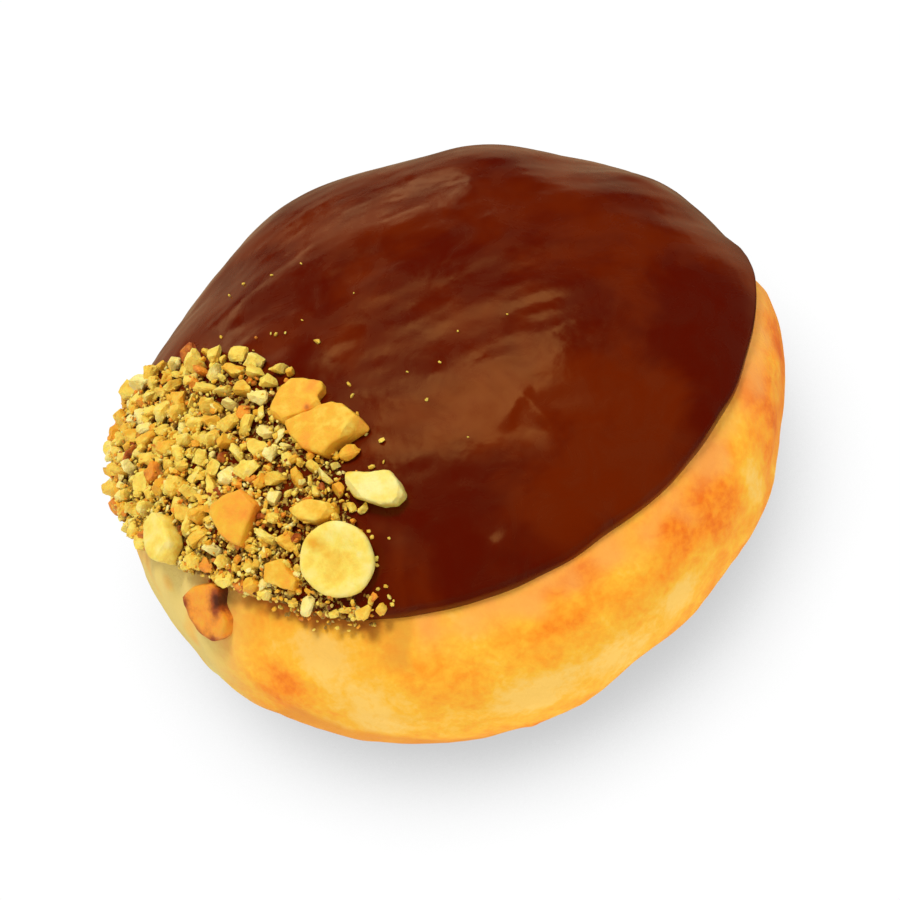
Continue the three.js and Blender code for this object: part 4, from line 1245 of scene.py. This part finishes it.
class NutSettings(bpy.types.PropertyGroup):
    cream: colour_setting("Cream", "The palest nut", (0.98, 0.84, 0.3))
    yellow: colour_setting("Yellow", "Pale yellow nut", (0.96, 0.72, 0.11))
    gold: colour_setting("Gold", "Golden nut", (0.88, 0.46, 0.028))
    orange: colour_setting("Orange", "Roasted nut", (0.92, 0.32, 0.025))
    # also the colour of the painted shade on the crumbs' lower parts and between them
    olive_powder_and_shade: colour_setting("Olive", "Nut powder with icing in it", (0.36, 0.2, 0.03))
    red_brown: colour_setting("Red-brown", "Nut with skin on it", (0.4, 0.08, 0.012))
    skin: colour_setting("Skin", "Brown skin", (0.12, 0.025, 0.006))
    middle_tries: bpy.props.IntProperty(
        name="Middling grains", description="How many middling grains are thrown", default=8000)
    fine_tries: bpy.props.IntProperty(
        name="Fine crumbs", description="How many fine crumbs are thrown", default=20000)


class StageSettings(bpy.types.PropertyGroup):
    # the floor's painted shadow, drawn from ambient occlusion, is this bright where it is deepest
    shadow: bpy.props.FloatProperty(
        name="Shadow", description="How bright the floor is where it is deepest in shadow", default=0.58)
    floor_light: bpy.props.FloatProperty(
        name="Light from the floor", description="How brightly the floor lights the doughnut", default=1.42)
    floor_reflected: bpy.props.FloatProperty(
        name="Floor in gloss", description="How brightly gloss shows the floor in front", default=0.06)
    far_floor_reflected: bpy.props.FloatProperty(
        name="Far floor in gloss", description="How brightly gloss shows the floor behind", default=0.5)
    surroundings: bpy.props.FloatProperty(
        name="Surroundings", description="How bright the white surroundings are", default=0.6)
    reflector: colour_setting("Reflectors", "Colour of what the gloss shows", (1.0, 0.68, 0.38))
    key_power: bpy.props.FloatProperty(
        name="Key light", description="Power of the light from above, in watts", default=5.4)


class DOUGHNUT_OT_stage(bpy.types.Operator):
    """Make the camera, the lights, the surroundings and the floor"""
    bl_idname = "doughnut.stage"
    bl_label = "Stage"

    def execute(self, context):
        settings = context.scene.doughnut_stage
        context.scene.view_settings.view_transform = "Standard"
        make_camera()
        make_world(settings)
        make_floor(settings)
        add_light("key_light", *KEY_LIGHT, settings.key_power, WHITE, False)
        for reflector in REFLECTORS:
            add_light(*reflector, settings.reflector, True)
        return {"FINISHED"}


class DOUGHNUT_OT_crust(bpy.types.Operator):
    """Make the bun's fried crust"""
    bl_idname = "doughnut.crust"
    bl_label = "Crust"

    def execute(self, context):
        make_dough(context.scene.doughnut_crust)
        return {"FINISHED"}


class DOUGHNUT_OT_icing(bpy.types.Operator):
    """Make the chocolate icing"""
    bl_idname = "doughnut.icing"
    bl_label = "Icing"

    def execute(self, context):
        make_icing(context.scene.doughnut_icing)
        return {"FINISHED"}


class DOUGHNUT_OT_large_nuts(bpy.types.Operator):
    """Make the large nut pieces"""
    bl_idname = "doughnut.large_nuts"
    bl_label = "Large nut pieces"

    def execute(self, context):
        make_large_nuts(context.scene.doughnut_nuts, context.scene.doughnut_icing.thickness)
        return {"FINISHED"}


class DOUGHNUT_OT_grains(bpy.types.Operator):
    """Make the chopped grains and crumbs"""
    bl_idname = "doughnut.grains"
    bl_label = "Chopped nuts"

    def execute(self, context):
        make_grains(context.scene.doughnut_nuts, context.scene.doughnut_icing.thickness)
        return {"FINISHED"}


OPERATORS = [
    DOUGHNUT_OT_stage, DOUGHNUT_OT_crust, DOUGHNUT_OT_icing, DOUGHNUT_OT_large_nuts, DOUGHNUT_OT_grains,
]
SETTINGS = {
    "doughnut_stage": StageSettings,
    "doughnut_crust": CrustSettings,
    "doughnut_icing": IcingSettings,
    "doughnut_nuts": NutSettings,
}


class DOUGHNUT_PT_panel(bpy.types.Panel):
    """Lists the doughnut's pieces and their settings"""
    bl_label = "Filled doughnut"
    bl_idname = "DOUGHNUT_PT_panel"
    bl_space_type = "VIEW_3D"
    bl_region_type = "UI"
    bl_category = "Doughnut"

    def draw(self, context):
        for operator in OPERATORS:
            self.layout.operator(operator.bl_idname)
        for key, group in SETTINGS.items():
            box = self.layout.box()
            for field in group.__annotations__:
                box.prop(getattr(context.scene, key), field)


def register():
    """Makes the settings, the operators and the panel known to Blender."""
    for group in SETTINGS.values():
        bpy.utils.register_class(group)
    for key, group in SETTINGS.items():
        setattr(bpy.types.Scene, key, bpy.props.PointerProperty(type=group))
    for operator in OPERATORS:
        bpy.utils.register_class(operator)
    bpy.utils.register_class(DOUGHNUT_PT_panel)


def unregister():
    """Takes them away again, in the other order."""
    bpy.utils.unregister_class(DOUGHNUT_PT_panel)
    for operator in reversed(OPERATORS):
        bpy.utils.unregister_class(operator)
    for key, group in SETTINGS.items():
        delattr(bpy.types.Scene, key)
        bpy.utils.unregister_class(group)


def main():
    """Makes the whole doughnut and its stage."""
    register()
    bpy.ops.doughnut.stage()
    bpy.ops.doughnut.crust()
    bpy.ops.doughnut.icing()
    bpy.ops.doughnut.large_nuts()
    bpy.ops.doughnut.grains()


if __name__ == "__main__":
    main()
